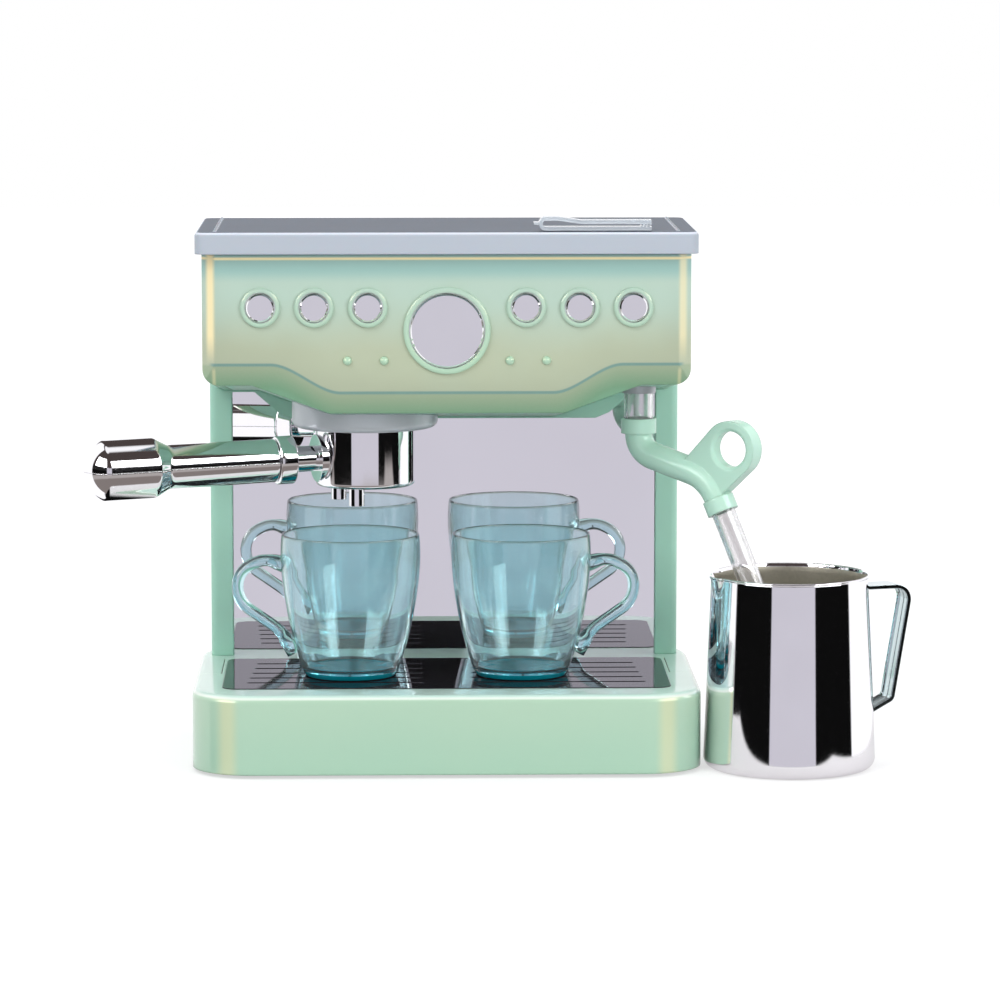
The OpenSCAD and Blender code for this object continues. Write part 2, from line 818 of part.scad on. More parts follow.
// Cap with a bevelled front edge, a flange behind the ring and a plunger
module button(x, z, cap_r, flange_r, travel) {
    flange_y = ring_sleeve_end + slide_gap;
    plunger_end = switch_tip - panel_setback - travel - 0.4;
    color(silver) translate([x, panel_y, z]) rotate([90, 0, 0]) rotate_extrude() polygon([
        [0, cap_proud], [cap_r - 0.8, cap_proud], [cap_r, cap_proud - 0.8], [cap_r, -flange_y],
        [flange_r, -flange_y], [flange_r, -flange_y - 1.5], [2.2, -flange_y - 1.5],
        [2.2, -plunger_end], [0, -plunger_end]]);
}

module small_button(i) {
    button(button_x[i], button_z, button_r, button_ring_r - 1.3, button_travel);
}
module button_1() { small_button(2); }
module button_2() { small_button(1); }
module button_3() { small_button(0); }
module button_4() { small_button(3); }
module button_5() { small_button(4); }
module button_6() { small_button(5); }
module main_button() { button(0, main_z, main_r, main_ring_r - 1.3, main_travel); }

module pilot_studs() {
    color(mint) for (x = stud_x) {
        intersection() {
            translate([x, panel_y, stud_z]) sphere(stud_r);
            span([-big, -big, 0], [big, panel_y, big]);
        }
        back_cylinder(x, stud_z, panel_y - eps, panel_y + wall + 1.5, stud_r - 0.6 - fit_gap);
    }
}

/* Lid and tongs */

ridge_w = 0.9;
ridge_end = 5;

module lid() {
    color(smoke) {
        translate([0, front_y + lid_d / 2, lid_z]) difference() {
            soft_block(lid_w, lid_d, lid_h, lid_corner_r, lid_edge_r);
            translate([0, 0, -eps]) soft_block(lid_w - 2 * lid_wall, lid_d - 2 * lid_wall,
                lid_h - lid_wall, lid_corner_r - lid_wall, 0.5);
        }
        for (side = [-1, 1]) translate([side * (lid_w / 2 - ridge_inset), 0, 0])
            span([-ridge_w / 2, front_y + ridge_end, lid_top - ridge_h],
                [ridge_w / 2, front_y + lid_d - ridge_end, lid_top + ridge_h]);
    }
}

tongs_x = lid_w / 2 - 66.9;
tongs_setback = 9;
tongs_w = 8;
tongs_t = 1.6;
tongs_len = 47;
loop_len = 17;
loop_flat = 7.4;
loop_h = 4.2;
loop_r = 2;
arm_gap = 2.8;
nub_len = 3;
tooth_h = 0.7;
tooth_w = 1.2;
tooth_pitch = 1.4;
tooth_root = 0.5;

module tooth() {
    linear_extrude(tongs_w) polygon([[-tooth_w / 2, -tooth_root], [tooth_w / 2, -tooth_root],
        [tooth_w / 2, 0], [0, tooth_h], [-tooth_w / 2, 0]]);
}

module tongs() {
    low = tongs_t / 2;
    upper = low + arm_gap;
    loop_z = low + loop_h;
    path = rounded_path([[tongs_len, upper], [loop_len, upper], [loop_flat, loop_z], [0, loop_z],
        [0, low], [tongs_len, low]], [0, 8, 6, loop_r, loop_r, 0], 5);
    color(clear) translate([tongs_x, front_y + tongs_setback + tongs_w / 2, lid_top + slide_gap])
        rotate([90, 0, 0]) {
            linear_extrude(tongs_w) polygon(strip(path, tongs_t));
            // Nub behind the loop, and two rows of teeth that mesh at the tips
            translate([-nub_len, loop_z / 2, 0]) cube([nub_len, 1, tongs_w]);
            for (i = [1:3]) {
                translate([tongs_len - i * tooth_pitch, tongs_t, 0]) tooth();
                translate([tongs_len - (i - 0.5) * tooth_pitch, arm_gap, 0]) mirror([0, 1, 0]) tooth();
            }
        }
}

/* Brew group */

module group_collar() {
    color(silver) difference() {
        union() {
            difference() {
                translate([group_x, brew_y, collar_z]) rotate_extrude() difference() {
                    square([collar_r, 20]);
                    translate([collar_r - 3, 3]) mirror([0, 1]) corner_waste(3);
                }
                belly_prism(big / 2, 0, 0);
            }
            translate([group_x, brew_y, collar_z + 1]) cylinder(h = barrel_top - collar_z - 1, r = barrel_r);
        }
        translate([group_x, brew_y, lock_z - slide_gap])
            cylinder(h = barrel_top - wall - lock_z + slide_gap, r = collar_bore_r);
        translate([group_x, brew_y, collar_z - 1]) cylinder(h = 10, r = cup_r + 1.1);
    }
}

module group_screen() {
    color(silver) translate([group_x, brew_y, barrel_top - wall - 2]) difference() {
        cylinder(h = 2, r = collar_bore_r - fit_gap);
        for (ring = [1:3], i = [0:ring * 6 - 1])
            rotate(i * 60 / ring) translate([ring * 6, 0, -1]) cylinder(h = 4, r = 1, $fn = 16);
    }
}

lug_w = 5.4;
lug_r = cup_r + 0.8;

module lock_ring() {
    color(black) translate([group_x, brew_y, lock_z]) difference() {
        cylinder(h = lock_h, r = collar_bore_r - slide_gap);
        translate([0, 0, -1]) cylinder(h = lock_h + 2, r = cup_r + slide_gap);
        rotate(handle_dir + 90) span([-lug_w / 2 - slide_gap, -lug_r - slide_gap, -1],
            [lug_w / 2 + slide_gap, lug_r + slide_gap, lock_h + 1]);
    }
}

// Places a shape on the filter handle's axis, with +Z along the handle
module on_handle() {
    translate([group_x, brew_y, cup_z + 12.8]) rotate([0, 90 + handle_droop, handle_dir]) children();
}

neck_r = 5.6;
boss_out = 22.5;
ring_at = 33;
ring_len = 8;

module filter_cup() {
    color(silver) difference() {
        union() {
            translate([group_x, brew_y, cup_z]) rotate_extrude() difference() {
                square([cup_r, cup_h]);
                translate([cup_r - 2, 2]) mirror([0, 1]) corner_waste(2);
            }
            on_handle() {
                cylinder(h = boss_out, r = 10.35);
                cylinder(h = ring_at + ring_len + 30, r = 4);
                cylinder(h = ring_at, r = neck_r);
            }
            translate([group_x, brew_y, lock_z + 2]) rotate(handle_dir + 90) intersection() {
                span([-lug_w / 2, -lug_r, 0], [lug_w / 2, lug_r, 4]);
                cylinder(h = 4, r = lug_r);
            }
        }
        translate([group_x, brew_y, cup_z + 2.5]) cylinder(h = cup_h, r = cup_r - 2);
    }
}

module pour_spouts() {
    color(silver) for (side = [-1, 1])
        translate([group_x, brew_y, 0]) rotate(handle_dir) translate([8, side * spout_pitch / 2, spout_z])
            difference() {
                cylinder(h = cup_z - spout_z, r = spout_r);
                translate([0, 0, -1]) cylinder(h = cup_z - spout_z, r = spout_r - 1.1);
            }
}

module handle_ring() {
    color(silver) on_handle() translate([0, 0, ring_at + fit_gap]) rotate_extrude() difference() {
        translate([4 + fit_gap, 0]) square([10.5 - 4 - fit_gap, ring_len - 2 * fit_gap]);
        translate([9.5, ring_len - 2 * fit_gap - 1]) corner_waste(1);
        translate([9.5, 1]) mirror([0, 1]) corner_waste(1);
    }
}

slim_r = 9.3;
fat_r = 13.2;
fat_at = 96;
grip_end = 126.4;
dome_r = 17.5;
dome_h = dome_r - sqrt(dome_r * dome_r - fat_r * fat_r);

// Turned outline of the grip: a slim barrel, a cone and a fat barrel with a domed end
module grip_body() {
    on_handle() rotate_extrude() difference() {
        polygon(concat([[0, ring_at + ring_len], [slim_r, ring_at + ring_len],
            [slim_r + 0.4, fat_at - 7], [fat_r, fat_at], [fat_r, grip_end - dome_h - 1]],
            arc([0, grip_end - dome_r], dome_r, acos((fat_r - 0.4) / dome_r), 90, 8)));
        square([4 + fit_gap, ring_at + ring_len + 30 + fit_gap]);
    }
}

module handle_half(side) {
    intersection() {
        grip_body();
        on_handle() translate([side > 0 ? -50 : fit_gap / 2, -50, 0])
            cube([50 - fit_gap / 2, 100, 200]);
    }
}

module grip_upper() { color(silver) handle_half(1); }
module grip_lower() { color(silver) handle_half(-1); }

/* Steam wand */

swivel_gap = 0.08;
gland_r = 7.4;
tube_wall = 1.4;
gland_z = 159;
gland_top = flank_z + 4;
sleeve_z = 141.2;
sleeve_h = 6.6;
sleeve_r = 7.7;
bend_1 = 75;
bend_2 = 49.6;
bend_r1 = 10;
bend_r2 = 20.8;
pipe_run = 20.4;
pipe_steps = 9;
ring_centre = [47.9, 137.1];
ring_t = 7.4;
ring_flare = 1.3;
collar_len = 6.5;

module at_wand() {
    translate([wand_x, front_y + wand_setback, 0]) rotate(wand_dir) children();
}

// Points of the pipe's path in the wand's own upright plane
knee = [bend_r1 * (1 - cos(bend_1)), sleeve_z - bend_r1 * sin(bend_1)];
slope = [cos(bend_1 - 90), sin(bend_1 - 90)];
bend_start = knee + pipe_run * slope;
bend_centre = bend_start + bend_r2 * [slope[1], -slope[0]];
bend_end = bend_centre + bend_r2 * [cos(bend_1 - bend_2), sin(bend_1 - bend_2)];
tip_slope = [cos(bend_1 - 90 - bend_2), sin(bend_1 - 90 - bend_2)];

module wand_gland() {
    color("gray") difference() {
        union() {
            at_wand() translate([0, 0, gland_z]) cylinder(h = gland_top - gland_z, r = gland_r);
            intersection() {
                at_wand() translate([0, 0, gland_z]) cylinder(h = gland_top - gland_z, r = gland_r + 2.6);
                belly_prism(head_w / 2, wall, 0);
            }
        }
        at_wand() translate([0, 0, gland_z - 1])
            cylinder(h = gland_top - gland_z + 2, r = wand_tube_r + swivel_gap);
    }
}

module wand_upper_tube() {
    color(clear) at_wand() difference() {
        union() {
            translate([0, 0, sleeve_z + 3]) cylinder(h = gland_top - sleeve_z, r = wand_tube_r);
            translate([0, 0, gland_top + slide_gap]) cylinder(h = 2.7, r = wand_tube_r + 1.6);
        }
        translate([0, 0, sleeve_z + 2]) cylinder(h = gland_top, r = wand_tube_r - tube_wall);
    }
}

// Tangent point on a circle as seen from p, on the chosen side
function tangent_point(p, c, r, side) = let (d = c - p, a = heading(d), b = asin(r / norm(d)))
    c + r * [cos(a + side * (90 + b)), sin(a + side * (90 + b))];

module wand_elbow() {
    web_a = bend_start + [-4.8, 1.6];
    web_b = bend_end + [3.2, 1.5];
    color(mint) at_wand() difference() {
        union() {
            translate([0, 0, sleeve_z]) cylinder(h = sleeve_h, r = sleeve_r);
            sweep(concat([[0, sleeve_z + 1]],
                arc([bend_r1, sleeve_z], bend_r1, 180, 180 + bend_1, pipe_steps),
                arc(bend_centre, bend_r2, bend_1, bend_1 - bend_2, pipe_steps),
                [bend_end + tip_slope]), ring_section(pipe_r, 24));
            translate([bend_end[0], 0, bend_end[1]]) rotate([0, 90 - heading(tip_slope), 0])
                cylinder(h = collar_len, r = tip_r + 1.7);
            translate([0, ring_t / 2, 0]) rotate([90, 0, 0]) linear_extrude(ring_t) {
                translate(ring_centre) circle(ring_r);
                polygon([web_a, tangent_point(web_a, ring_centre, ring_r, 1), ring_centre,
                    tangent_point(web_b, ring_centre, ring_r, -1), web_b]);
            }
        }
        translate([ring_centre[0], 0, ring_centre[1]]) rotate([90, 0, 0]) {
            cylinder(h = 20, r = ring_hole_r, center = true);
            for (side = [0, 1]) mirror([0, 0, side]) translate([0, 0, ring_t / 2 - ring_flare])
                cylinder(h = ring_flare + eps, r1 = ring_hole_r, r2 = ring_hole_r + ring_flare);
        }
        translate([0, 0, sleeve_z + 3]) cylinder(h = sleeve_h, r = wand_tube_r + fit_gap);
        translate([bend_end[0], 0, bend_end[1]]) rotate([0, 90 - heading(tip_slope), 0])
            translate([0, 0, 1.5]) cylinder(h = collar_len, r = tip_r + fit_gap);
    }
}

module wand_lower_tube() {
    color(clear) at_wand() translate([bend_end[0], 0, bend_end[1]])
        rotate([0, 90 - heading(tip_slope), 0]) translate([0, 0, 1.5]) difference() {
            cylinder(h = collar_len + tip_len, r = tip_r);
            translate([0, 0, -1]) cylinder(h = collar_len + tip_len + 2, r = tip_r - 1.3);
        }
}

/* Mugs */

mug_curve = [[mug_foot_r, 0], [mug_foot_r + 6.2, 0.24 * mug_h], [mug_rim_r + 2.4, 0.71 * mug_h],
    [mug_rim_r, mug_h]];
mug_steps = 14;
mug_handle = [[26, 47.6], [37.5, 51.6], [49.9, 45.2], [48.9, 32], [30.4, 19.2], [23.4, 8.6]];
mug_handle_r = [0, 12, 11, 13, 20, 0];
mug_handle_t = 5.2;
mug_handle_w = 7.4;

// Revolved solid under the mug's curve, shrunk by inset
module mug_form(inset) {
    curve = [for (i = [0:mug_steps]) bezier(mug_curve, i / mug_steps) - [inset, 0]];
    lift = inset > 0 ? 1 : 0;
    rotate_extrude() polygon(concat([[0, 0]], curve,
        [[mug_rim_r - inset, mug_h + lift], [0, mug_h + lift]]));
}

// Flattened oval section of a mug's handle
function mug_section(n) = [for (k = [0:n - 1])
    [mug_handle_t / 2 * cos(k * 360 / n), mug_handle_w / 2 * sin(k * 360 / n)]];

module mug(side) {
    difference() {
        union() {
            mug_form(0);
            rotate(side > 0 ? 0 : 180)
                sweep(rounded_path(mug_handle, mug_handle_r, 5), mug_section(14));
        }
        intersection() {
            mug_form(mug_wall);
            translate([0, 0, mug_bottom]) cylinder(h = mug_h, r = mug_rim_r + 5);
        }
    }
}

module mug_left() { color(aqua) translate([mug_left_x, brew_y, mug_z]) mug(-1); }
module mug_right() { color(aqua) translate([mug_right_x, brew_y, mug_z]) mug(1); }

/* Milk pitcher */

pitcher_x = base_w / 2 + pitcher_gap + pitcher_r;
pitcher_y = front_y + pitcher_setback;
pitcher_edge_r = 4.5;
pour_dir = 197;

module pitcher_form(inset, low, high) {
    r = pitcher_edge_r - inset;
    rotate_extrude() polygon(concat([[0, low]],
        arc([pitcher_r - pitcher_edge_r, low + r], r, -90, 0, 8),
        [[pitcher_rim_r - inset, high], [0, high]]));
}

// Cone that pushes the rim out into a pouring lip
module lip_cone(inset) {
    rotate(pour_dir) translate([pitcher_rim_r - 7.5, 0, pitcher_h]) rotate([0, -6, 0])
        translate([0, 0, -34]) cylinder(h = 40, r1 = 0.5, r2 = 11.5 - inset);
}

module pitcher_body() {
    color(silver) translate([pitcher_x, pitcher_y, -foot_h]) difference() {
        union() {
            pitcher_form(0, 0, pitcher_h);
            lip_cone(0);
        }
        pitcher_form(pitcher_wall, pitcher_wall, pitcher_h + 1);
        lip_cone(pitcher_wall);
        translate([0, 0, pitcher_h]) cylinder(h = big, r = big);
    }
}

handle_drop = 7;
handle_low = 23;
handle_slant = 5;
handle_top_reach = 20.3;
handle_low_reach = 9.6;
handle_strip_t = 1.4;

// Radius of the pitcher's outside at a height above its foot
function pitcher_side(z) = pitcher_r + (pitcher_rim_r - pitcher_r) * (z - pitcher_edge_r)
    / (pitcher_h - pitcher_edge_r);

module pitcher_handle() {
    high = pitcher_h - handle_drop;
    side_high = pitcher_side(high);
    side_low = pitcher_side(handle_low);
    path = rounded_path([[side_high - 3, high], [side_high + handle_top_reach, high],
        [side_low + handle_low_reach, handle_low + handle_slant], [side_low - 3, handle_low]],
        [0, 6, 3, 0], 6);
    color(silver) translate([pitcher_x, pitcher_y, -foot_h]) rotate(pitcher_dir) difference() {
        translate([0, pitcher_handle_w / 2, 0]) rotate([90, 0, 0])
            linear_extrude(pitcher_handle_w) polygon(strip(path, handle_strip_t));
        pitcher_form(0, 0, pitcher_h);
    }
}

base_cover();
feet();
base_shell();
base_screws();
drip_tray();
tray_plate();
column_frame();
mirror_panel();
rear_cover();
rear_screws();
battery_box();
batteries();
battery_door();
speaker();
head_shell();
head_floor();
circuit_board();
switches();
button_rings();
main_button_ring();
pilot_studs();
button_1();
button_2();
button_3();
button_4();
button_5();
button_6();
main_button();
lid();
tongs();
group_collar();
group_screen();
lock_ring();
filter_cup();
pour_spouts();
handle_ring();
grip_upper();
grip_lower();
wand_gland();
wand_upper_tube();
wand_elbow();
wand_lower_tube();
mug_left();
mug_right();
pitcher_body();
pitcher_handle();
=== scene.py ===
import json
import math

import bmesh
import bpy
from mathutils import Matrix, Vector

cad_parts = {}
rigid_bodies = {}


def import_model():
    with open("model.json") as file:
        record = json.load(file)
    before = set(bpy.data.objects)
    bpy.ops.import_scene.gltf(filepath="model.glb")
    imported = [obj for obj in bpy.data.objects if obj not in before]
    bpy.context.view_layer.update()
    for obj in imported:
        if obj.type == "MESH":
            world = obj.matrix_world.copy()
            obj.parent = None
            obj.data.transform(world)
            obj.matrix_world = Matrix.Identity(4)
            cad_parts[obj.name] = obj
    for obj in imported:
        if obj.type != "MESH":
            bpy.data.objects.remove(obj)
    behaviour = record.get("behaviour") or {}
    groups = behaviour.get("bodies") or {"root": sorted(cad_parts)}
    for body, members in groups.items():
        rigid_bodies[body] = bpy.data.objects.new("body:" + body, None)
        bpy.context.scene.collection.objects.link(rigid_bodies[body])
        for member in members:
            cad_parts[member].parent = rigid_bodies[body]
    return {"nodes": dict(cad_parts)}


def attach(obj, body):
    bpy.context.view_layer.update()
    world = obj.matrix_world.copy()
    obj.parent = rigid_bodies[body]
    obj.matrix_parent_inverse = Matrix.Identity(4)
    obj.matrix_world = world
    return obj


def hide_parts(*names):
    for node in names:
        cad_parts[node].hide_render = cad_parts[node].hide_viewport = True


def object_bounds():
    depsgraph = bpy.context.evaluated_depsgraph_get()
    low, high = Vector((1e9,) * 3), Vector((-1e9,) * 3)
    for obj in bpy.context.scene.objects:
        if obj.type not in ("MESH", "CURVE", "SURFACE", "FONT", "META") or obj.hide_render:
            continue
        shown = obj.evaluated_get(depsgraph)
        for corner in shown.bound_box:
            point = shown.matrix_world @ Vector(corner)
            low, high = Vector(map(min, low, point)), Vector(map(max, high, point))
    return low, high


for leftover in list(bpy.data.objects):
    bpy.data.objects.remove(leftover)

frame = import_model()
cad_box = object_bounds()

# Pieces are written in millimetres, and Blender works in metres
MM = 0.001


# ---------------------------------------------------------------- node trees

# Range that most of a noise's values lie in, and one that only its high values reach
MIDDLE, STREAKY = (0.3, 0.7), (0.45, 0.8)


class Nodes:
    """Short calls that add nodes to a tree and join them."""

    def __init__(self, tree):
        self.tree = tree
        tree.nodes.clear()

    def put(self, socket, value):
        if isinstance(value, bpy.types.NodeSocket):
            self.tree.links.new(value, socket)
        elif isinstance(value, tuple):
            socket.default_value = (*value, 1.0)
        else:
            socket.default_value = value

    def add(self, kind, inputs=None, **settings):
        made = self.tree.nodes.new(kind)
        for key, value in settings.items():
            setattr(made, key, value)
        for key, value in (inputs or {}).items():
            self.put(made.inputs[key], value)
        return made

    def calc(self, kind, a, b=0.0, clamp=False):
        made = self.add("ShaderNodeMath", {0: a, 1: b}, operation=kind, use_clamp=clamp)
        return made.outputs[0]

    def times(self, *values):
        result = values[0]
        for value in values[1:]:
            result = self.calc("MULTIPLY", result, value)
        return result

    def flip(self, value):
        return self.calc("SUBTRACT", 1.0, value)

    def fit(self, value, low, high, to_low=0.0, to_high=1.0, smooth=False):
        made = self.add("ShaderNodeMapRange",
                        {"Value": value, "From Min": low, "From Max": high,
                         "To Min": to_low, "To Max": to_high},
                        interpolation_type="SMOOTHSTEP" if smooth else "LINEAR")
        return made.outputs["Result"]

    def step(self, value, edge, soft):
        """0 below an edge and 1 above it."""
        return self.fit(value, edge - soft, edge + soft, smooth=True)

    def mix(self, fac, a, b):
        return self.add("ShaderNodeMix", {0: fac, 6: a, 7: b}, data_type="RGBA").outputs[2]

    def axis(self, vector, name):
        return self.add("ShaderNodeSeparateXYZ", {0: vector}).outputs[name]


# Each material under its own name
LOOKS = {}


class Look(Nodes):
    """A material's node tree."""

    def __init__(self, name):
        LOOKS[name] = bpy.data.materials.new(name)
        LOOKS[name].use_nodes = True
        super().__init__(LOOKS[name].node_tree)
        self.out = self.add("ShaderNodeOutputMaterial")

    def place(self):
        return self.add("ShaderNodeTexCoord").outputs["Object"]

    def noise(self, scale, detail=3.0, rough=0.5):
        made = self.add("ShaderNodeTexNoise", {"Scale": scale, "Detail": detail,
                                               "Roughness": rough, "Vector": self.place()})
        return made.outputs["Fac"]

    def shaded(self, value, colour, share):
        """Colour that turns to a share of itself where a noise is high."""
        other = tuple(min(1.0, c * share) for c in colour)
        return self.mix(self.fit(value, *MIDDLE), colour, other)

    def bump(self, height, strength, distance, under=None):
        inputs = {"Height": height, "Strength": strength, "Distance": distance}
        if under is not None:
            inputs["Normal"] = under
        return self.add("ShaderNodeBump", inputs).outputs["Normal"]

    def round_edges(self, radius):
        return self.add("ShaderNodeBevel", {"Radius": radius}, samples=6).outputs["Normal"]

    def cross(self, share, a, b):
        inputs = {0: share, 1: a.outputs[0], 2: b.outputs[0]}
        return self.add("ShaderNodeMixShader", inputs)

    def surface(self, shader):
        self.put(self.out.inputs["Surface"], shader.outputs[0])

    def finish(self, inputs):
        self.surface(self.add("ShaderNodeBsdfPrincipled", inputs))


# ---------------------------------------------------------------- pearly paint and painted light

GOLD_FLOP = (1.0, 0.66, 0.22)
# Gold of the painted highlights on the head's edges
GOLD_HIGHLIGHT = (1.0, 0.87, 0.50)
# Painted shade in the crease above the head's band
CREASE_SHADE = (0.150, 0.330, 0.310)
HEAD_LOW, HEAD_HIGH = (0.435, 0.510, 0.375), (0.435, 0.610, 0.530)
# Painted shadow of the lid: a teal strip along the top of the head
LID_SHADOW_TEAL = (0.260, 0.510, 0.490)
# Painted shade on the band under the head's panel, and darker still on the head's underside
BAND_SHADE_TOP, BAND_SHADE_LOW = (0.310, 0.430, 0.295), (0.160, 0.380, 0.240)
UNDER_SHADE = (0.180, 0.480, 0.330)
BASE_LOW, BASE_HIGH = (0.360, 0.620, 0.480), (0.410, 0.640, 0.490)
# Painted light on the base: sheen on the deck, gold highlights at the corners, a highlight on the
# rim
BASE_DECK_SHEEN, BASE_GOLD_HIGHLIGHT, BASE_RIM_HIGHLIGHT = (0.620, 0.860, 0.780), (0.700, 0.720, 0.440), (0.90, 0.97, 0.93)
RING_LOW = (0.430, 0.680, 0.500)
FLAKE, FLAKE_SHARE, CLOUD_SHARE = (0.80, 0.92, 0.82), 0.10, 0.10

# Painted light on the head, in metres. A line has a centre, a half width and a softness.
# Heights over which the lid's painted shadow fades out, and how strong it is
LID_SHADOW_Z, LID_SHADOW_SHARE = (0.2105, 0.2170), 0.9
# Where the band begins, and how far below it the painted shade deepens
BELLY_X, FLANK_X, BELLY_EDGE, FLANK_EDGE = 0.045, 0.075, 0.1645, 0.1765
BAND_SOFT, BAND_FROM, BAND_TO, UNDER_TO = 0.0010, 0.002, 0.010, 0.016
# Painted shade along the crease: its line, and where it ends to the sides
CREASE_SHADE_LINE, CREASE_SHADE_END_X = (0.0002, 0.0003, 0.0007), (0.1015, 0.0990)
# Painted gold highlights: on the front bevels, as streaks beside them and as a line under the lid,
# fading out towards the back
BEVEL_HIGHLIGHT_LINE, BEVEL_HIGHLIGHT_FADE = (0.1003, 0.0006, 0.0020), (0.0, -0.012)
BEVEL_HIGHLIGHT_SIDES = (-0.02, 0.02, 1.0, 0.6)
STREAK_HIGHLIGHT_LINE, STREAK_HIGHLIGHT_FADE = (0.0990, 0.0002, 0.0010), (0.001, 0.003, 0.0, 0.35)
TOP_HIGHLIGHT_LINE = (0.2214, 0.0002, 0.0007)
GOLD_HIGHLIGHT_END_Y = (-0.052, -0.060)

# Painted highlights and sheen on the base, by how far its surface turns to the side or up
# Painted gold highlight where the base's corners begin to turn
CORNER_HIGHLIGHT_TURN, CORNER_HIGHLIGHT_SHARE = (0.40, 0.03, 0.20), 0.60
# Painted highlight along the base's top rim
RIM_HIGHLIGHT_TURN, RIM_HIGHLIGHT_SHARE = (0.66, 0.06, 0.16), 0.7
# Painted sheen on the up-facing deck
DECK_SHEEN_TURN = (0.45, 0.85)


def ridge(look, value, centre, half, soft):
    """1 where value lies within half of centre, falling to 0 over soft."""
    off = look.calc("ABSOLUTE", look.calc("SUBTRACT", value, centre))
    return look.fit(off, half + soft, half, smooth=True)


def head_painted_light(look, place, body):
    """Painted light: the lid's teal shadow, gold highlights on edges, shade in crease and band."""
    x, z = look.calc("ABSOLUTE", look.axis(place, "X")), look.axis(place, "Z")
    # Painted shadow of the lid along the top of the head
    body = look.mix(look.fit(z, *LID_SHADOW_Z, 0.0, LID_SHADOW_SHARE, smooth=True), body, LID_SHADOW_TEAL)
    edge = look.fit(x, BELLY_X, FLANK_X, BELLY_EDGE, FLANK_EDGE, smooth=True)
    below = look.calc("SUBTRACT", edge, z)
    # Painted shade: a darker band under the panel, darkest on the underside
    band = look.mix(look.fit(below, BAND_FROM, BAND_TO), BAND_SHADE_TOP, BAND_SHADE_LOW)
    band = look.mix(look.fit(below, BAND_TO, UNDER_TO), band, UNDER_SHADE)
    body = look.mix(look.fit(below, 0.0, BAND_SOFT), body, band)
    # Painted shade along the crease between the panel and the band
    inside = look.fit(x, *CREASE_SHADE_END_X, smooth=True)
    body = look.mix(look.times(ridge(look, below, *CREASE_SHADE_LINE), inside), body, CREASE_SHADE)
    # Painted gold highlights on the head's front edges and along its top under the lid
    bevel_highlight = look.times(ridge(look, x, *BEVEL_HIGHLIGHT_LINE), look.fit(below, *BEVEL_HIGHLIGHT_FADE),
                       look.fit(look.axis(place, "X"), *BEVEL_HIGHLIGHT_SIDES))
    streak_highlight = look.times(ridge(look, x, *STREAK_HIGHLIGHT_LINE), look.fit(below, *STREAK_HIGHLIGHT_FADE))
    front = look.fit(look.axis(place, "Y"), *GOLD_HIGHLIGHT_END_Y, smooth=True)
    gold = look.times(look.calc("MAXIMUM", bevel_highlight, streak_highlight), front)
    return look.mix(look.calc("MAXIMUM", gold, ridge(look, z, *TOP_HIGHLIGHT_LINE)), body, GOLD_HIGHLIGHT)


def base_painted_light(look, turned, body):
    """Painted light on the base: gold highlights at corners, sheen on the deck, a rim highlight."""
    x, z = look.calc("ABSOLUTE", look.axis(turned, "X")), look.axis(turned, "Z")
    # Painted gold highlight where each corner of the base begins to turn
    corner = look.times(ridge(look, x, *CORNER_HIGHLIGHT_TURN), CORNER_HIGHLIGHT_SHARE)
    body = look.mix(corner, body, BASE_GOLD_HIGHLIGHT)
    # Painted sheen that pales the up-facing deck
    body = look.mix(look.fit(z, *DECK_SHEEN_TURN, smooth=True), body, BASE_DECK_SHEEN)
    # Painted highlight along the top rim
    return look.mix(look.times(ridge(look, z, *RIM_HIGHLIGHT_TURN), RIM_HIGHLIGHT_SHARE), body, BASE_RIM_HIGHLIGHT)


def pearl(name, upper, lower, low_z, high_z, part="", coat=0.5, roughness=0.42):
    """Pearly paint: flakes, a slow drift with height and a gold lobe under a clear coat."""
    look = Look(name)
    place = look.place()
    drift = look.fit(look.axis(place, "Z"), low_z, high_z, smooth=True)
    cloud = look.fit(look.noise(26.0, detail=4.0), 0.35, 0.65, -CLOUD_SHARE, CLOUD_SHARE)
    body = look.mix(look.calc("ADD", drift, cloud, clamp=True), lower, upper)
    soft = look.round_edges(0.0014)
    if part == "head":
        body = head_painted_light(look, place, body)
    elif part == "base":
        body = base_painted_light(look, soft, body)
    flake = look.noise(5200.0, detail=2.0, rough=0.6)
    orange_peel = look.noise(420.0, detail=2.0)
    look.finish({
        "Base Color": look.mix(look.fit(flake, 0.35, 0.75, 0.0, FLAKE_SHARE), body, FLAKE),
        "Roughness": look.fit(orange_peel, *MIDDLE, roughness - 0.02, roughness + 0.03),
        "IOR": 1.8,
        "Specular IOR Level": 0.6,
        "Specular Tint": GOLD_FLOP,
        "Coat Weight": coat,
        "Coat Roughness": 0.10,
        "Normal": look.bump(flake, strength=0.05, distance=0.00004, under=soft),
    })


# ---------------------------------------------------------------- other materials

# The lid's dark deck and its painted highlight, by how far its surface turns up
LID_DECK_TURN = (0.90, 0.99)
# Painted highlight along the lid's top edge
LID_HIGHLIGHT_FROM, LID_HIGHLIGHT_TO, LID_HIGHLIGHT_SHARE = (0.30, 0.60), (0.97, 0.80), 0.8


def moulded(name, colour, roughness=0.36):
    """Smooth coloured plastic with a soft gloss and a very fine grain."""
    look = Look(name)
    fine = look.noise(2200.0, detail=3.0, rough=0.6)
    look.finish({
        "Base Color": look.shaded(look.noise(30.0), colour, 0.95),
        "Roughness": look.fit(fine, *MIDDLE, roughness - 0.03, roughness + 0.04),
        "Specular IOR Level": 0.5,
        "Subsurface Weight": 0.04,
        "Subsurface Scale": 0.002,
        "Normal": look.bump(fine, strength=0.06, distance=0.00003, under=look.round_edges(0.0012)),
    })


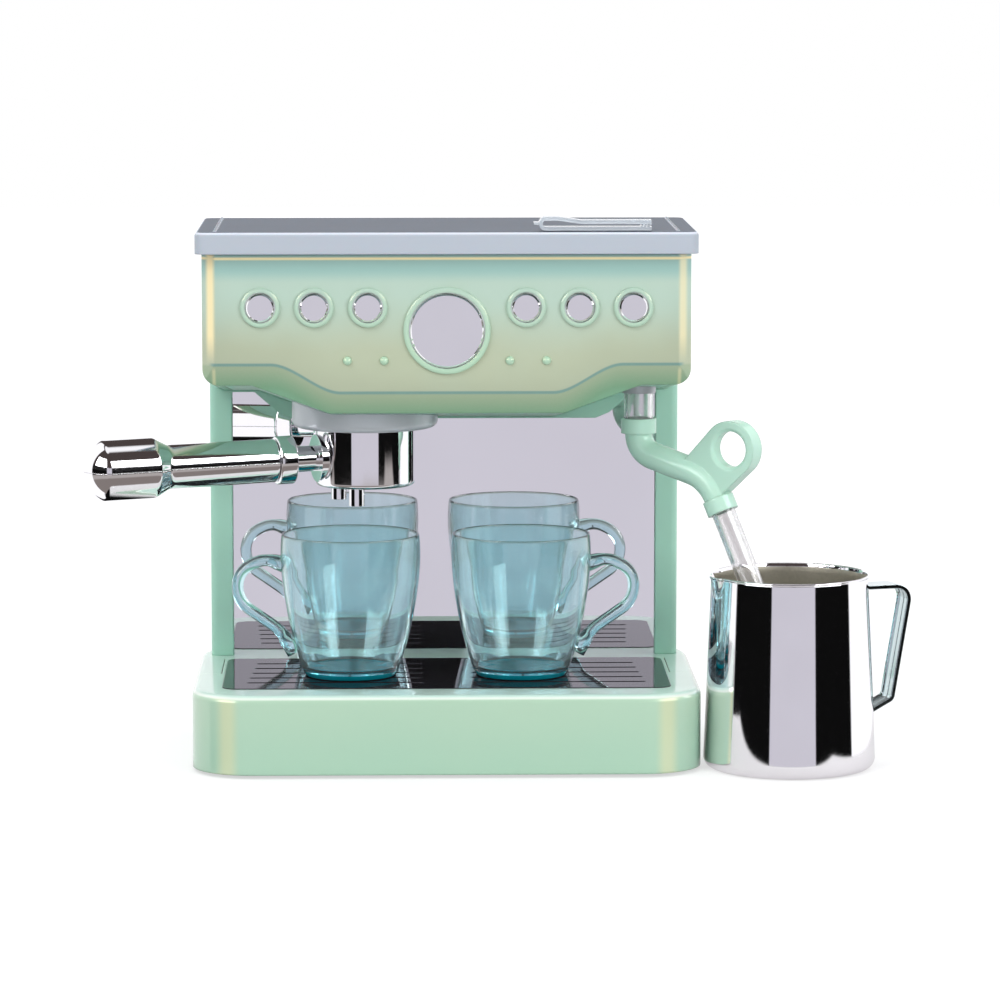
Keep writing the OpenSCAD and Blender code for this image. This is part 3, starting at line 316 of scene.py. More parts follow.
def polished(name, colour, roughness=0.03, edge=0.0003, wave_depth=0.0002):
    """Chrome: faint fine scratches and a soft unevenness."""
    look = Look(name)
    scratch, wave = look.noise(900.0, detail=4.0, rough=0.7), look.noise(60.0, detail=1.0)
    soft = look.round_edges(edge) if edge else None
    look.finish({
        "Base Color": look.shaded(look.noise(40.0), colour, 0.97),
        "Metallic": 1.0,
        "Roughness": look.fit(scratch, 0.4, 0.75, roughness, roughness + 0.05),
        "Normal": look.bump(wave, strength=0.06, distance=wave_depth, under=soft),
    })


def mirror(name, colour, roughness):
    """Mirror film: a slight waviness and a faint haze."""
    look = Look(name)
    haze = look.noise(130.0, detail=4.0, rough=0.7)
    look.finish({
        "Base Color": look.shaded(look.noise(14.0), colour, 0.96),
        "Metallic": 1.0,
        "Roughness": look.fit(haze, *STREAKY, roughness, roughness + 0.04),
        "Normal": look.bump(look.noise(22.0, detail=1.0), strength=0.05, distance=0.0003),
    })


def silver(name, colour, roughness=0.34):
    """Silver-painted plastic with fine flakes."""
    look = Look(name)
    flake = look.noise(3800.0, detail=2.0, rough=0.6)
    look.finish({
        "Base Color": look.shaded(flake, colour, 1.12),
        "Metallic": 0.30,
        "Roughness": look.fit(look.noise(300.0), *MIDDLE, roughness - 0.04, roughness + 0.05),
        "Coat Weight": 0.25,
        "Coat Roughness": 0.15,
        "Normal": look.bump(flake, strength=0.05, distance=0.00003, under=look.round_edges(0.0009)),
    })


def frosted(name, wall, top, edge):
    """Milky plastic: pale walls, a dark deck and a painted highlight where the top edge turns."""
    look = Look(name)
    soft = look.round_edges(0.0010)
    up = look.axis(soft, "Z")
    fine = look.noise(2600.0, detail=3.0, rough=0.6)
    deck = look.shaded(look.noise(30.0), top, 1.12)
    body = look.mix(look.fit(up, *LID_DECK_TURN, smooth=True), wall, deck)
    # Painted highlight: a bright line, in the edge colour, where the lid's top edge turns
    lid_highlight = look.times(look.fit(up, *LID_HIGHLIGHT_FROM, smooth=True),
                      look.fit(up, *LID_HIGHLIGHT_TO, smooth=True), LID_HIGHLIGHT_SHARE)
    look.finish({
        "Base Color": look.mix(lid_highlight, body, edge),
        "Roughness": look.fit(fine, *MIDDLE, 0.34, 0.40),
        "Subsurface Weight": 0.10,
        "Subsurface Scale": 0.003,
        "Specular IOR Level": 0.09,
        "Normal": look.bump(fine, strength=0.08, distance=0.00004, under=soft),
    })


def milky(name, colour, clear, roughness):
    """Clear plastic with a milky cast, as thin mouldings have."""
    look = Look(name)
    fine = look.noise(900.0, detail=2.0)
    look.finish({
        "Base Color": look.shaded(look.noise(60.0), colour, 0.96),
        "Roughness": look.fit(fine, *MIDDLE, roughness, roughness + 0.05),
        "Transmission Weight": clear,
        "IOR": 1.49,
        "Normal": look.bump(fine, strength=0.05, distance=0.00004, under=look.round_edges(0.0005)),
    })


def tinted(name, colour, roughness, clear, depth_colour=None, density=0.0):
    """Clear moulded plastic: slight ripples, and a tint that deepens where it is thick."""
    look = Look(name)
    ripple = look.noise(90.0, detail=2.0)
    if depth_colour:
        depth = look.add("ShaderNodeVolumeAbsorption",
                         {"Color": depth_colour, "Density": density})
        look.put(look.out.inputs["Volume"], depth.outputs[0])
    look.finish({
        "Base Color": look.shaded(look.noise(50.0), colour, 0.98),
        "Roughness": look.fit(ripple, *MIDDLE, roughness, roughness + 0.02),
        "Transmission Weight": clear,
        "IOR": 1.47,
        "Normal": look.bump(ripple, strength=0.06, distance=0.0002),
    })


def glossy_black(name):
    """Smoked glossy plate: almost black, with a clear reflection and faint wipe marks."""
    look = Look(name)
    dark, less_dark = (0.012, 0.011, 0.014), (0.018, 0.016, 0.020)
    wave, soft = look.noise(30.0, detail=1.0), look.round_edges(0.0004)
    look.finish({
        "Base Color": look.mix(look.fit(look.noise(18.0), *MIDDLE), dark, less_dark),
        "Roughness": look.fit(look.noise(120.0, detail=4.0, rough=0.7), *STREAKY, 0.02, 0.07),
        "IOR": 1.5,
        "Specular IOR Level": 0.5,
        "Normal": look.bump(wave, strength=0.03, distance=0.0003, under=soft),
    })


def matte(name, colour, roughness, grain=1400.0, depth=0.00006, metal=0.0):
    """Plain moulded or cast material with a fine grain."""
    look = Look(name)
    fine = look.noise(grain, detail=4.0, rough=0.6)
    look.finish({
        "Base Color": look.shaded(fine, colour, 0.86),
        "Roughness": look.fit(fine, *MIDDLE, roughness - 0.05, roughness + 0.05),
        "Metallic": metal,
        "Normal": look.bump(fine, strength=0.25, distance=depth, under=look.round_edges(0.0003)),
    })


pearl("mint_shell", HEAD_HIGH, HEAD_LOW, low_z=0.178, high_z=0.208, part="head")
pearl("mint_low", BASE_HIGH, BASE_LOW, low_z=0.0, high_z=0.035, part="base", coat=0.9)
pearl("mint_ring", HEAD_HIGH, RING_LOW, low_z=0.170, high_z=0.225, coat=0.8, roughness=0.3)
moulded("mint_column", (0.400, 0.690, 0.550))
moulded("mint_trim", (0.330, 0.610, 0.460))
moulded("mint_wand", (0.530, 0.790, 0.650), roughness=0.22)
polished("chrome", (0.96, 0.95, 0.97))
polished("cap_chrome", (0.97, 0.965, 0.98), roughness=0.01, edge=0.0, wave_depth=0.00005)
polished("steel_handle", (0.60, 0.70, 0.71), roughness=0.06)
matte("steel_inside", (0.46, 0.43, 0.35), roughness=0.36, grain=700.0, depth=0.00003,
      metal=0.55)
mirror("mirror_film", (0.98, 0.97, 0.99), roughness=0.0)
glossy_black("dark_mirror")
silver("silver_plastic", (0.50, 0.52, 0.55))
silver("gland_grey", (0.42, 0.42, 0.45))
# The edge colour is the painted highlight along the lid's top edge
frosted("frosted_lid", wall=(0.450, 0.490, 0.545), top=(0.048, 0.064, 0.094),
        edge=(0.68, 0.72, 0.80))
tinted("aqua_clear", (0.830, 0.970, 0.985), roughness=0.0, clear=0.945,
       depth_colour=(0.16, 0.80, 0.88), density=34.0)
tinted("aqua_foot", (0.001, 0.235, 0.300), roughness=0.08, clear=0.12)
milky("clear_plastic", (0.99, 0.985, 0.99), clear=0.92, roughness=0.02)
milky("clear_tongs", (0.86, 0.92, 0.97), clear=0.60, roughness=0.08)
matte("rubber_foot", (0.06, 0.06, 0.065), roughness=0.75)
matte("screw_steel", (0.55, 0.55, 0.57), roughness=0.30, grain=2600.0, depth=0.00002,
      metal=1.0)
matte("inner_black", (0.03, 0.03, 0.032), roughness=0.55)
matte("board_green", (0.03, 0.22, 0.10), roughness=0.40, grain=900.0)
matte("cell_metal", (0.50, 0.51, 0.55), roughness=0.28, grain=2200.0, depth=0.00002,
      metal=0.9)

LOOK_NODES = {
    "mint_low": ["base_shell", "drip_tray"],
    "mint_shell": ["head_shell"],
    "mint_ring": ["button_rings", "main_button_ring", "pilot_studs"],
    "mint_column": ["column_frame", "rear_cover", "battery_door"],
    "mint_trim": ["base_cover", "head_floor"],
    "mint_wand": ["wand_elbow"],
    "chrome": ["button_1", "button_2", "button_3", "button_4", "button_5", "button_6",
               "main_button", "filter_cup", "pour_spouts", "handle_ring", "grip_upper",
               "grip_lower", "pitcher_body"],
    "steel_handle": ["pitcher_handle"],
    "mirror_film": ["mirror_panel"],
    "dark_mirror": ["tray_plate"],
    "silver_plastic": ["group_collar"],
    "gland_grey": ["wand_gland"],
    "frosted_lid": ["lid"],
    "aqua_clear": ["mug_left", "mug_right"],
    "clear_plastic": ["wand_upper_tube", "wand_lower_tube"],
    "clear_tongs": ["tongs"],
    "rubber_foot": ["feet"],
    "screw_steel": ["base_screws", "rear_screws", "group_screen"],
    "inner_black": ["battery_box", "speaker", "switches", "lock_ring"],
    "board_green": ["circuit_board"],
    "cell_metal": ["batteries"],
}


def split_edges(obj, degrees):
    """Keeps edges sharp on a smooth piece where they turn by more than an angle."""
    obj.modifiers.new("edges", "EDGE_SPLIT").split_angle = math.radians(degrees)


def weld_points(obj, distance):
    obj.modifiers.new("weld", "WELD").merge_threshold = distance


def dress_nodes():
    """Gives each CAD node its material and smooth shading between its real edges."""
    for look, names in LOOK_NODES.items():
        for obj in (frame["nodes"][name] for name in names):
            if not obj.material_slots:
                obj.data.materials.append(LOOKS[look])
            for spot in obj.material_slots:
                spot.material = LOOKS[look]
            for face in obj.data.polygons:
                face.use_smooth = True
            weld_points(obj, 0.000002)
            split_edges(obj, 32)


dress_nodes()


# ---------------------------------------------------------------- making a piece

def arc2(cx, cz, radius, start, end, count):
    """Points on an arc in a half section, from start to end degrees."""
    angles = [math.radians(start + (end - start) * i / count) for i in range(count + 1)]
    return [(cx + radius * math.cos(a), cz + radius * math.sin(a)) for a in angles]


def bezier(points, t):
    a, b, c, d = [Vector(p) for p in points]
    return a * (1 - t) ** 3 + b * 3 * t * (1 - t) ** 2 + c * 3 * t * t * (1 - t) + d * t ** 3


def build(name, verts, faces, look, node, body=None, other=None, other_faces=()):
    """Makes a smooth piece from millimetre points, in a node's place and on its body."""
    mesh = bpy.data.meshes.new(name)
    mesh.from_pydata([tuple(c * MM for c in v) for v in verts], [], faces)
    made = bmesh.new()
    made.from_mesh(mesh)
    bmesh.ops.recalc_face_normals(made, faces=made.faces)
    made.to_mesh(mesh)
    made.free()
    obj = bpy.data.objects.new(name, mesh)
    bpy.context.collection.objects.link(obj)
    mesh.materials.append(LOOKS[look])
    if other:
        mesh.materials.append(LOOKS[other])
    for index in other_faces:
        mesh.polygons[index].material_index = 1
    for face in mesh.polygons:
        face.use_smooth = True
    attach(obj, body or node)
    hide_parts(node)
    return obj


def lathe_mesh(profile, steps, centre, radius_of=None):
    """Vertices and faces of a turned form whose profile starts and ends on the axis."""
    cx, cy, cz = centre
    verts = [(cx, cy, cz + profile[0][1])]
    rows = profile[1:-1]
    for r, z, *side in rows:
        for k in range(steps):
            angle = 2 * math.pi * k / steps
            reach = radius_of(r, z, angle, side) if radius_of else r
            verts.append((cx + reach * math.cos(angle), cy + reach * math.sin(angle), cz + z))
    verts.append((cx, cy, cz + profile[-1][1]))
    last = len(verts) - 1
    faces = [(0, 1 + (k + 1) % steps, 1 + k) for k in range(steps)]
    for row in range(len(rows) - 1):
        low = 1 + row * steps
        for k in range(steps):
            n = (k + 1) % steps
            faces.append((low + k, low + n, low + steps + n, low + steps + k))
    top = 1 + (len(rows) - 1) * steps
    faces += [(top + k, top + (k + 1) % steps, last) for k in range(steps)]
    return verts, faces


def round_path(points, radii, count=10):
    """Flat path through points with its inner corners rounded."""
    path = [Vector(points[0])]
    for i in range(1, len(points) - 1):
        a, b, c = (Vector(points[j]) for j in (i - 1, i, i + 1))
        into, out = (b - a).normalized(), (c - b).normalized()
        cross = into.x * out.y - into.y * out.x
        bend = math.atan2(cross, into.dot(out))
        run = radii[i] * math.tan(abs(bend) / 2)
        side = 1 if bend > 0 else -1
        hub = b - into * run + Vector((-into.y, into.x)) * side * radii[i]
        spoke = b - into * run - hub
        for k in range(count + 1):
            cos, sin = math.cos(bend * k / count), math.sin(bend * k / count)
            path.append(hub + Vector((spoke.x * cos - spoke.y * sin,
                                      spoke.x * sin + spoke.y * cos)))
    path.append(Vector(points[-1]))
    return path


def swept(path, section, centre, turn_deg, scale_of=None):
    """Vertices and faces of a section along a flat path that stands on an upright plane."""
    c, s = math.cos(math.radians(turn_deg)), math.sin(math.radians(turn_deg))
    cx, cy, cz = centre
    count, last = len(section), len(path) - 1
    verts, faces = [], []
    for i, p in enumerate(path):
        d = (path[min(i + 1, last)] - path[max(i - 1, 0)]).normalized()
        size = scale_of(i / last) if scale_of else (1.0, 1.0)
        for n, w in section:
            r, z, y = p.x - d.y * n * size[0], p.y + d.x * n * size[0], w * size[1]
            verts.append((cx + r * c - y * s, cy + r * s + y * c, cz + z))
    for i in range(last):
        low, high = i * count, (i + 1) * count
        for k in range(count):
            n = (k + 1) % count
            faces.append((low + k, low + n, high + n, high + k))
    faces.append(tuple(range(count - 1, -1, -1)))
    faces.append(tuple(last * count + k for k in range(count)))
    return verts, faces


# ---------------------------------------------------------------- mugs

MUG_Y, MUG_Z = -15.5, 35.2
MUG_H, MUG_RIM, MUG_FOOT, MUG_WALL, MUG_LIP, MUG_FLOOR = 62.3, 30.1, 20.1, 1.6, 1.0, 3.4
MUG_CURVE = [(MUG_FOOT, 0), (MUG_FOOT + 6.2, 0.24 * MUG_H),
             (MUG_RIM + 2.4, 0.71 * MUG_H), (MUG_RIM, MUG_H)]
MUG_ROWS, MUG_STEPS = 44, 128
FOOT_EDGE, FOOT_HOLLOW, FOOT_HOLLOW_R, FOOT_STAND_R = 0.6, 0.5, MUG_FOOT - 3.5, MUG_FOOT - 2.8
FLOOR_ROUND, FLOOR_INSET, WALL_END = 2.4, 3.2, MUG_FLOOR + 3
# Heights under which the outside is dark, and between which the floor is
FOOT_BAND, FLOOR_BAND = 2.7, (MUG_FLOOR - 0.1, MUG_FLOOR + 0.3)
MUG_HANDLE = [(27, 47.6), (37.5, 51.6), (49.9, 45.2), (48.9, 32), (30.4, 19.2), (24.6, 9.6)]
MUG_HANDLE_ROUND = [0, 12, 10.4, 12.4, 20, 0]
BAR_THICK, BAR_WIDE, BAR_SIDES = 2.6, 3.7, 20
FLARE_RUN, FLARE_THICK, FLARE_WIDE = 0.10, 0.35, 0.15


def mug_profile():
    """Half section: hollow foot, curved outside, rolled rim, inside and thick floor."""
    outer = [tuple(bezier(MUG_CURVE, i / MUG_ROWS)) for i in range(MUG_ROWS + 1)]
    outer = [p for p in outer if p[1] < MUG_H - MUG_LIP / 2]
    rim = arc2(MUG_RIM - MUG_LIP / 2, MUG_H - MUG_LIP / 2, MUG_LIP / 2, 0, 180, 8)
    inner = []
    for r, z in reversed(outer):
        if z > WALL_END:
            near_rim = max(0.0, z / MUG_H * 4 - 3)
            inner.append((r - MUG_WALL + (MUG_WALL - MUG_LIP) * near_rim, z))
    inner += arc2(inner[-1][0] - FLOOR_INSET, MUG_FLOOR + FLOOR_ROUND, FLOOR_ROUND, -8, -90, 6)
    foot = arc2(MUG_FOOT - FOOT_EDGE, FOOT_EDGE, FOOT_EDGE, -90, -10, 4)
    under = [(0, FOOT_HOLLOW), (FOOT_HOLLOW_R, FOOT_HOLLOW), (FOOT_STAND_R, 0)]
    return under + foot + outer[1:] + rim + inner + [(0, MUG_FLOOR)]


def flare(t):
    """How much the handle's bar grows where it meets the wall."""
    end = max(0.0, 1.0 - min(t, 1.0 - t) / FLARE_RUN)
    return 1.0 + FLARE_THICK * end, 1.0 + FLARE_WIDE * end


def mug(name, node, x, turn_deg):
    """Clear mug: turned body with a dark thick foot, and a round bar as its handle."""
    centre = (x, MUG_Y, MUG_Z)
    verts, faces = lathe_mesh(mug_profile(), MUG_STEPS, centre)
    dark = []
    for index, face in enumerate(faces):
        heights = [verts[v][2] - MUG_Z for v in face]
        low, high = min(heights), max(heights)
        if high < FOOT_BAND or (FLOOR_BAND[0] < low and high < FLOOR_BAND[1]):
            dark.append(index)
    turns = [2 * math.pi * k / BAR_SIDES for k in range(BAR_SIDES)]
    section = [(BAR_THICK * math.cos(a), BAR_WIDE * math.sin(a)) for a in turns]
    path = round_path(MUG_HANDLE, MUG_HANDLE_ROUND)
    more, sides = swept(path, section, centre, turn_deg, flare)
    shift = len(verts)
    verts += more
    faces += [tuple(v + shift for v in f) for f in sides]
    build(name, verts, faces, "aqua_clear", node,
          other="aqua_foot", other_faces=dark)


# ---------------------------------------------------------------- pitcher

PITCHER = (148.5, -46.5, -1.0)
PITCHER_H, PITCHER_R, PITCHER_RIM = 84.5, 37.2, 34.1
PITCHER_WALL, PITCHER_EDGE, PITCHER_STEPS = 1.3, 4.5, 192
HOLLOW_R, HOLLOW_Z, SIDE_ROWS, INSIDE_ROWS, INSIDE_FROM = PITCHER_R - 8, 0.4, 40, 30, 6
SIDE_END, RIM_ROW, BEAD_IN, BEAD_R = PITCHER_H - 1.6, 0.2, 0.25, 0.60

# The lip is part of a cone round a hub inside the wall
LIP_TURN, LIP_HALF_TURN = math.radians(197.0), 1.0
LIP_HUB, LIP_HUB_GROWTH, LIP_R, LIP_TAPER = PITCHER_RIM - 7.5, 0.105, 9.85, 0.275

# The band's ends on the wall, and how far it stands out, rises and is sunk into the wall
STRIP_HIGH, STRIP_LOW, STRIP_DEG, STRIP_ROUND = PITCHER_H - 7, 23, 17, [0, 6, 3, 0]
STRIP_OUT, STRIP_OUT_LOW, STRIP_RISE, STRIP_SUNK = 20.3, 9.6, 5, 0.6
STRIP_SECTION = [(0.7, -6), (0.7, 6), (-0.9, 6), (-1.1, 5.6), (-0.9, 4.6), (-0.3, 4.2),
                 (-0.3, 0.8), (-0.55, 0.5), (-0.55, -0.5), (-0.3, -0.8), (-0.3, -4.2),
                 (-0.9, -4.6), (-1.1, -5.6), (-0.9, -6)]


def pitcher_side(z):
    taper = (PITCHER_RIM - PITCHER_R) * (z - PITCHER_EDGE) / (PITCHER_H - PITCHER_EDGE)
    return PITCHER_R + taper


def lip_reach(r, z, angle, side):
    """Radius at a height and angle, pushed out where the pouring lip is."""
    inset = side[0]
    off = angle - LIP_TURN
    off = math.atan2(math.sin(off), math.cos(off))
    down = max(0.0, PITCHER_H - z)
    hub, cone = LIP_HUB + LIP_HUB_GROWTH * down, LIP_R - LIP_TAPER * down - inset
    inside = cone * cone - (hub * math.sin(off)) ** 2
    if cone <= 0 or inside <= 0 or abs(off) > LIP_HALF_TURN:
        return r
    return max(r, hub * math.cos(off) + math.sqrt(inside) + (r - pitcher_side(z) + inset))


def pitcher_skin():
    """Polished pitcher with a soft bottom edge, a rolled rim, a lip and a dull inside."""
    corner = (PITCHER_R - PITCHER_EDGE, PITCHER_EDGE)
    rise = (SIDE_END - PITCHER_EDGE) / SIDE_ROWS
    heights = [PITCHER_EDGE + rise * i for i in range(1, SIDE_ROWS + 1)]
    heights += [SIDE_END + RIM_ROW, SIDE_END + 2 * RIM_ROW]
    outside = arc2(*corner, PITCHER_EDGE, -90, 0, 10)
    outside += [(pitcher_side(z), z) for z in heights]
    outside += arc2(PITCHER_RIM - BEAD_IN, PITCHER_H - BEAD_R, BEAD_R, -70, 190, 10)
    fall = (SIDE_END - INSIDE_FROM) / INSIDE_ROWS
    heights = [SIDE_END - fall * i for i in range(INSIDE_ROWS + 1)]
    inside = [(pitcher_side(z) - PITCHER_WALL, z) for z in heights]
    inside += arc2(*corner, PITCHER_EDGE - PITCHER_WALL, 0, -90, 6)
    profile = [(0, HOLLOW_Z), (HOLLOW_R, HOLLOW_Z, 0.0)]
    profile += [(r, z, 0.0) for r, z in outside]
    profile += [(r, z, PITCHER_WALL) for r, z in inside] + [(0, PITCHER_WALL)]
    verts, faces = lathe_mesh(profile, PITCHER_STEPS, PITCHER, lip_reach)
    dull = range(PITCHER_STEPS * (len(outside) + 2), len(faces))
    build("pitcher_skin", verts, faces, "chrome", "pitcher_body", "pitcher",
          "steel_inside", dull)


def pitcher_strip():
    """Band handle with beaded edges."""
    high, low = pitcher_side(STRIP_HIGH), pitcher_side(STRIP_LOW)
    points = [(high - STRIP_SUNK, STRIP_HIGH), (high + STRIP_OUT, STRIP_HIGH),
              (low + STRIP_OUT_LOW, STRIP_LOW + STRIP_RISE), (low - STRIP_SUNK / 2, STRIP_LOW)]
    verts, faces = swept(round_path(points, STRIP_ROUND), STRIP_SECTION, PITCHER, STRIP_DEG)
    split_edges(build("pitcher_strip", verts, faces, "steel_handle", "pitcher_handle",
                      "pitcher"), 35)


# ---------------------------------------------------------------- press caps

PANEL_Y, CAP_PROUD, CAP_BEVEL, CAP_FLAT = -67.5, 2.2, 0.85, 0.5
FLANGE_TOP, FLANGE_END, PLUNGER_R, CAP_STEPS = -3.7, -5.2, 2.2, 120
# Radius, flange's radius and where the plunger ends
SMALL_CAP, SMALL_Z = (6.15, 7.1, -10.1), 200.6
SMALL_X = (-33.6, -56.4, -79.2, 33.6, 56.4, 79.2)
MAIN_CAP, MAIN_Z = (15.8, 17.2, -9.1), 190.8


def cap(node, x, z, size):
    """Chrome press cap: flat face, bevelled edge, hidden flange and plunger."""
    r, flange_r, end = size
    flat = r - CAP_BEVEL
    profile = [(0, CAP_PROUD), (flat - CAP_FLAT, CAP_PROUD), (flat, CAP_PROUD),
               (r, CAP_PROUD - CAP_BEVEL), (r, FLANGE_TOP), (flange_r, FLANGE_TOP),
               (flange_r, FLANGE_END), (PLUNGER_R, FLANGE_END), (PLUNGER_R, end), (0, end)]
    verts, faces = lathe_mesh(profile, CAP_STEPS, (0.0, 0.0, 0.0))
    verts = [(x + v[0], PANEL_Y - v[2], z + v[1]) for v in verts]
    split_edges(build(node + "_cap", verts, faces, "cap_chrome", node), 30)


# ---------------------------------------------------------------- filter holder's grip

CUP = Vector((-35.2, -15.5, 131.8))
HANDLE_TURN, DROOP = math.radians(198.0), math.radians(1.1)
GRIP_STEPS, SEAM = 64, 0.05
# Radius and distance from the cup's axis: bore for the neck, barrel, shoulder, fat end
GRIP = [(0, 71.1), (4.1, 71.1), (4.1, 41.1), (8.9, 41.1), (9.2, 41.4), (9.3, 41.8),
        (9.31, 42.4), (9.69, 87.8), (9.7, 88.6), (9.8, 89.4), (10.0, 90.0), (10.3, 90.6),
        (12.6, 94.6), (12.9, 95.1), (13.1, 95.7), (13.2, 96.4), (13.2, 97.0),
        (13.2, 117.1), (13.2, 117.5)]
GRIP_END_EDGE, GRIP_DOME = (10.0, 117.5, 3.2, 0, 32, 6), (0.0, 111.58, 14.82, 31.5, 90, 14)


def grip_half(name, node, sign):
    """One half of the handle, from the seam at its sides over its upper or under side."""
    along = Vector((math.cos(HANDLE_TURN) * math.cos(DROOP),
                    math.sin(HANDLE_TURN) * math.cos(DROOP), -math.sin(DROOP)))
    side = Vector((-math.sin(HANDLE_TURN), math.cos(HANDLE_TURN), 0.0))
    up = along.cross(side)
    verts, faces = [], []
    profile = GRIP + arc2(*GRIP_END_EDGE)[1:] + arc2(*GRIP_DOME)[1:]
    for r, z in profile:
        for k in range(GRIP_STEPS + 1):
            angle = math.pi * k / GRIP_STEPS
            rise = sign * (SEAM + r * math.sin(angle))
            verts.append(CUP + along * z + side * (r * math.cos(angle)) + up * rise)
    row = GRIP_STEPS + 1
    for low in range(0, (len(profile) - 1) * row, row):
        high = low + row
        faces += [(low + k, low + k + 1, high + k + 1, high + k) for k in range(GRIP_STEPS)]
        faces.append((low, low + GRIP_STEPS, high + GRIP_STEPS, high))
    half = build(name, verts, faces, "chrome", node, "portafilter")
    weld_points(half, 0.000005)
    split_edges(half, 28)


for number, cap_x in enumerate(SMALL_X, 1):
    cap("button_%d" % number, cap_x, SMALL_Z, SMALL_CAP)
cap("main_button", 0.0, MAIN_Z, MAIN_CAP)
grip_half("grip_top", "grip_upper", 1)
grip_half("grip_under", "grip_lower", -1)
mug("mug_left_clear", "mug_left", -41.8, 180)
mug("mug_right_clear", "mug_right", 33.0, 0)
pitcher_skin()
pitcher_strip()


# ---------------------------------------------------------------- studio

WHITE, BLACK = (1.0, 1.0, 1.0), (0.004, 0.004, 0.00408)
LAVENDER, CEILING = (0.610, 0.592, 0.662), (0.066, 0.052, 0.050)
BELOW, RISING = (0.230, 0.200, 0.190), (0.420, 0.390, 0.380)
LENS_BLACK, FLAG_BLACK = (0.010, 0.010, 0.0102), (0.02, 0.02, 0.0204)
SOFTBOX, BACKDROP, OVERHEAD = (7.0, 7.0, 7.14), (1.08, 1.08, 1.1016), (1.0, 1.0, 1.02)
SKY_LOW, SKY_HIGH, SKY_RISE = (0.60, 0.61, 0.63), (0.92, 0.93, 0.95), (0.25, 0.75)

# Where each thing that reflections see begins, in degrees up from the horizon
BELOW_FROM, RISING_FROM, CARD_FROM, LENS_FROM, BOX_FROM, BOX_TO = -67, -22, -11, 3, 14, 38
BACKDROP_FROM, BACKDROP_TO, WALL_TOP, OVERHEAD_FROM = -31, 24, 62, 72
# And in degrees to either side of straight ahead
CARD_TO, BOX_SIDE, BOX_SIDE_END, FLAG_TO, WALL_TO = 31.2, 33.2, 76, 88.5, 150
LENS_X, LENS_HALF, LENS_SOFT = 0.007, 0.019, 0.006

FLOOR_Z, FLOOR_HALF = cad_box[0][2] - 0.0002, 4.0
FLOOR_PAINT, FLOOR_BOUNCE = (0.86, 0.86, 0.86), (0.55, 0.56, 0.58)
FLOOR_REFLECTED, FLOOR_GLOW = (0.60, 0.57, 0.59), 1.15
# Distances over which the floor turns from this share of glow to nothing but glow
FADE, NEAR_SHARE = (0.30, 0.75), 0.52
TABLE_FRONT, TABLE_LEFT, TABLE_RIGHT, TABLE_SOFT = -0.135, -0.118, 0.245, 0.008

CAMERA_PLACE = (-0.02465, -2.00616, 0.35907)
CAMERA_DOWN, CAMERA_TURN, CAMERA_LENS = 0.1235, -0.0243, 165.1


def studio_world():
    """Even soft light. Reflections and glass see a lavender card in front with a dark lens
    over it, black flags and softboxes beside it, a dark ceiling, and white walls behind the
    object and beside it."""
    world = bpy.data.worlds.new("studio")
    bpy.context.scene.world = world
    world.use_nodes = True
    sky = Nodes(world.node_tree)
    ray = sky.add("ShaderNodeTexCoord").outputs["Generated"]
    way = sky.add("ShaderNodeSeparateXYZ", {0: ray}).outputs
    around = sky.calc("ARCTAN2", sky.calc("ABSOLUTE", way["X"]), sky.times(way["Y"], -1.0))

    def above(degrees, soft=0.02):
        return sky.step(way["Z"], math.sin(math.radians(degrees)), soft)

    def beyond(degrees, soft=0.8):
        return sky.step(around, math.radians(degrees), math.radians(soft))

    off_lens = sky.calc("ABSOLUTE", sky.calc("SUBTRACT", way["X"], LENS_X))
    lens = sky.mix(sky.step(off_lens, LENS_HALF, LENS_SOFT), LENS_BLACK, LAVENDER)
    box = sky.times(beyond(BOX_SIDE, 1.5), sky.flip(beyond(BOX_SIDE_END, 1.5)))
    front = sky.mix(above(BELOW_FROM), BLACK, BELOW)
    front = sky.mix(above(RISING_FROM, 0.05), front, RISING)
    front = sky.mix(above(CARD_FROM), front, sky.mix(beyond(CARD_TO), LAVENDER, BLACK))
    front = sky.mix(above(LENS_FROM), front, sky.mix(beyond(CARD_TO), lens, FLAG_BLACK))
    front = sky.mix(above(BOX_FROM), front, sky.mix(box, CEILING, SOFTBOX))
    front = sky.mix(above(BOX_TO), front, CEILING)

    wall = sky.times(sky.flip(beyond(WALL_TO, 3.0)), above(-WALL_TOP), sky.flip(above(WALL_TOP)))
    back = sky.mix(above(BACKDROP_FROM), BLACK, BACKDROP)
    back = sky.mix(above(BACKDROP_TO), back, CEILING)
    back = sky.mix(wall, back, BACKDROP)

    seen = sky.mix(beyond(FLAG_TO, 1.5), front, back)
    seen = sky.mix(above(OVERHEAD_FROM), seen, OVERHEAD)
    rays = sky.add("ShaderNodeLightPath").outputs
    shiny = sky.calc("MAXIMUM", rays["Is Glossy Ray"], rays["Is Transmission Ray"])
    light = sky.mix(sky.step(way["Z"], *SKY_RISE), SKY_LOW, SKY_HIGH)
    light = sky.mix(shiny, light, seen)
    light = sky.mix(rays["Is Camera Ray"], light, WHITE)
    shine = sky.add("ShaderNodeBackground", {"Color": light})
    sky.add("ShaderNodeOutputWorld", {"Surface": shine.outputs[0]})


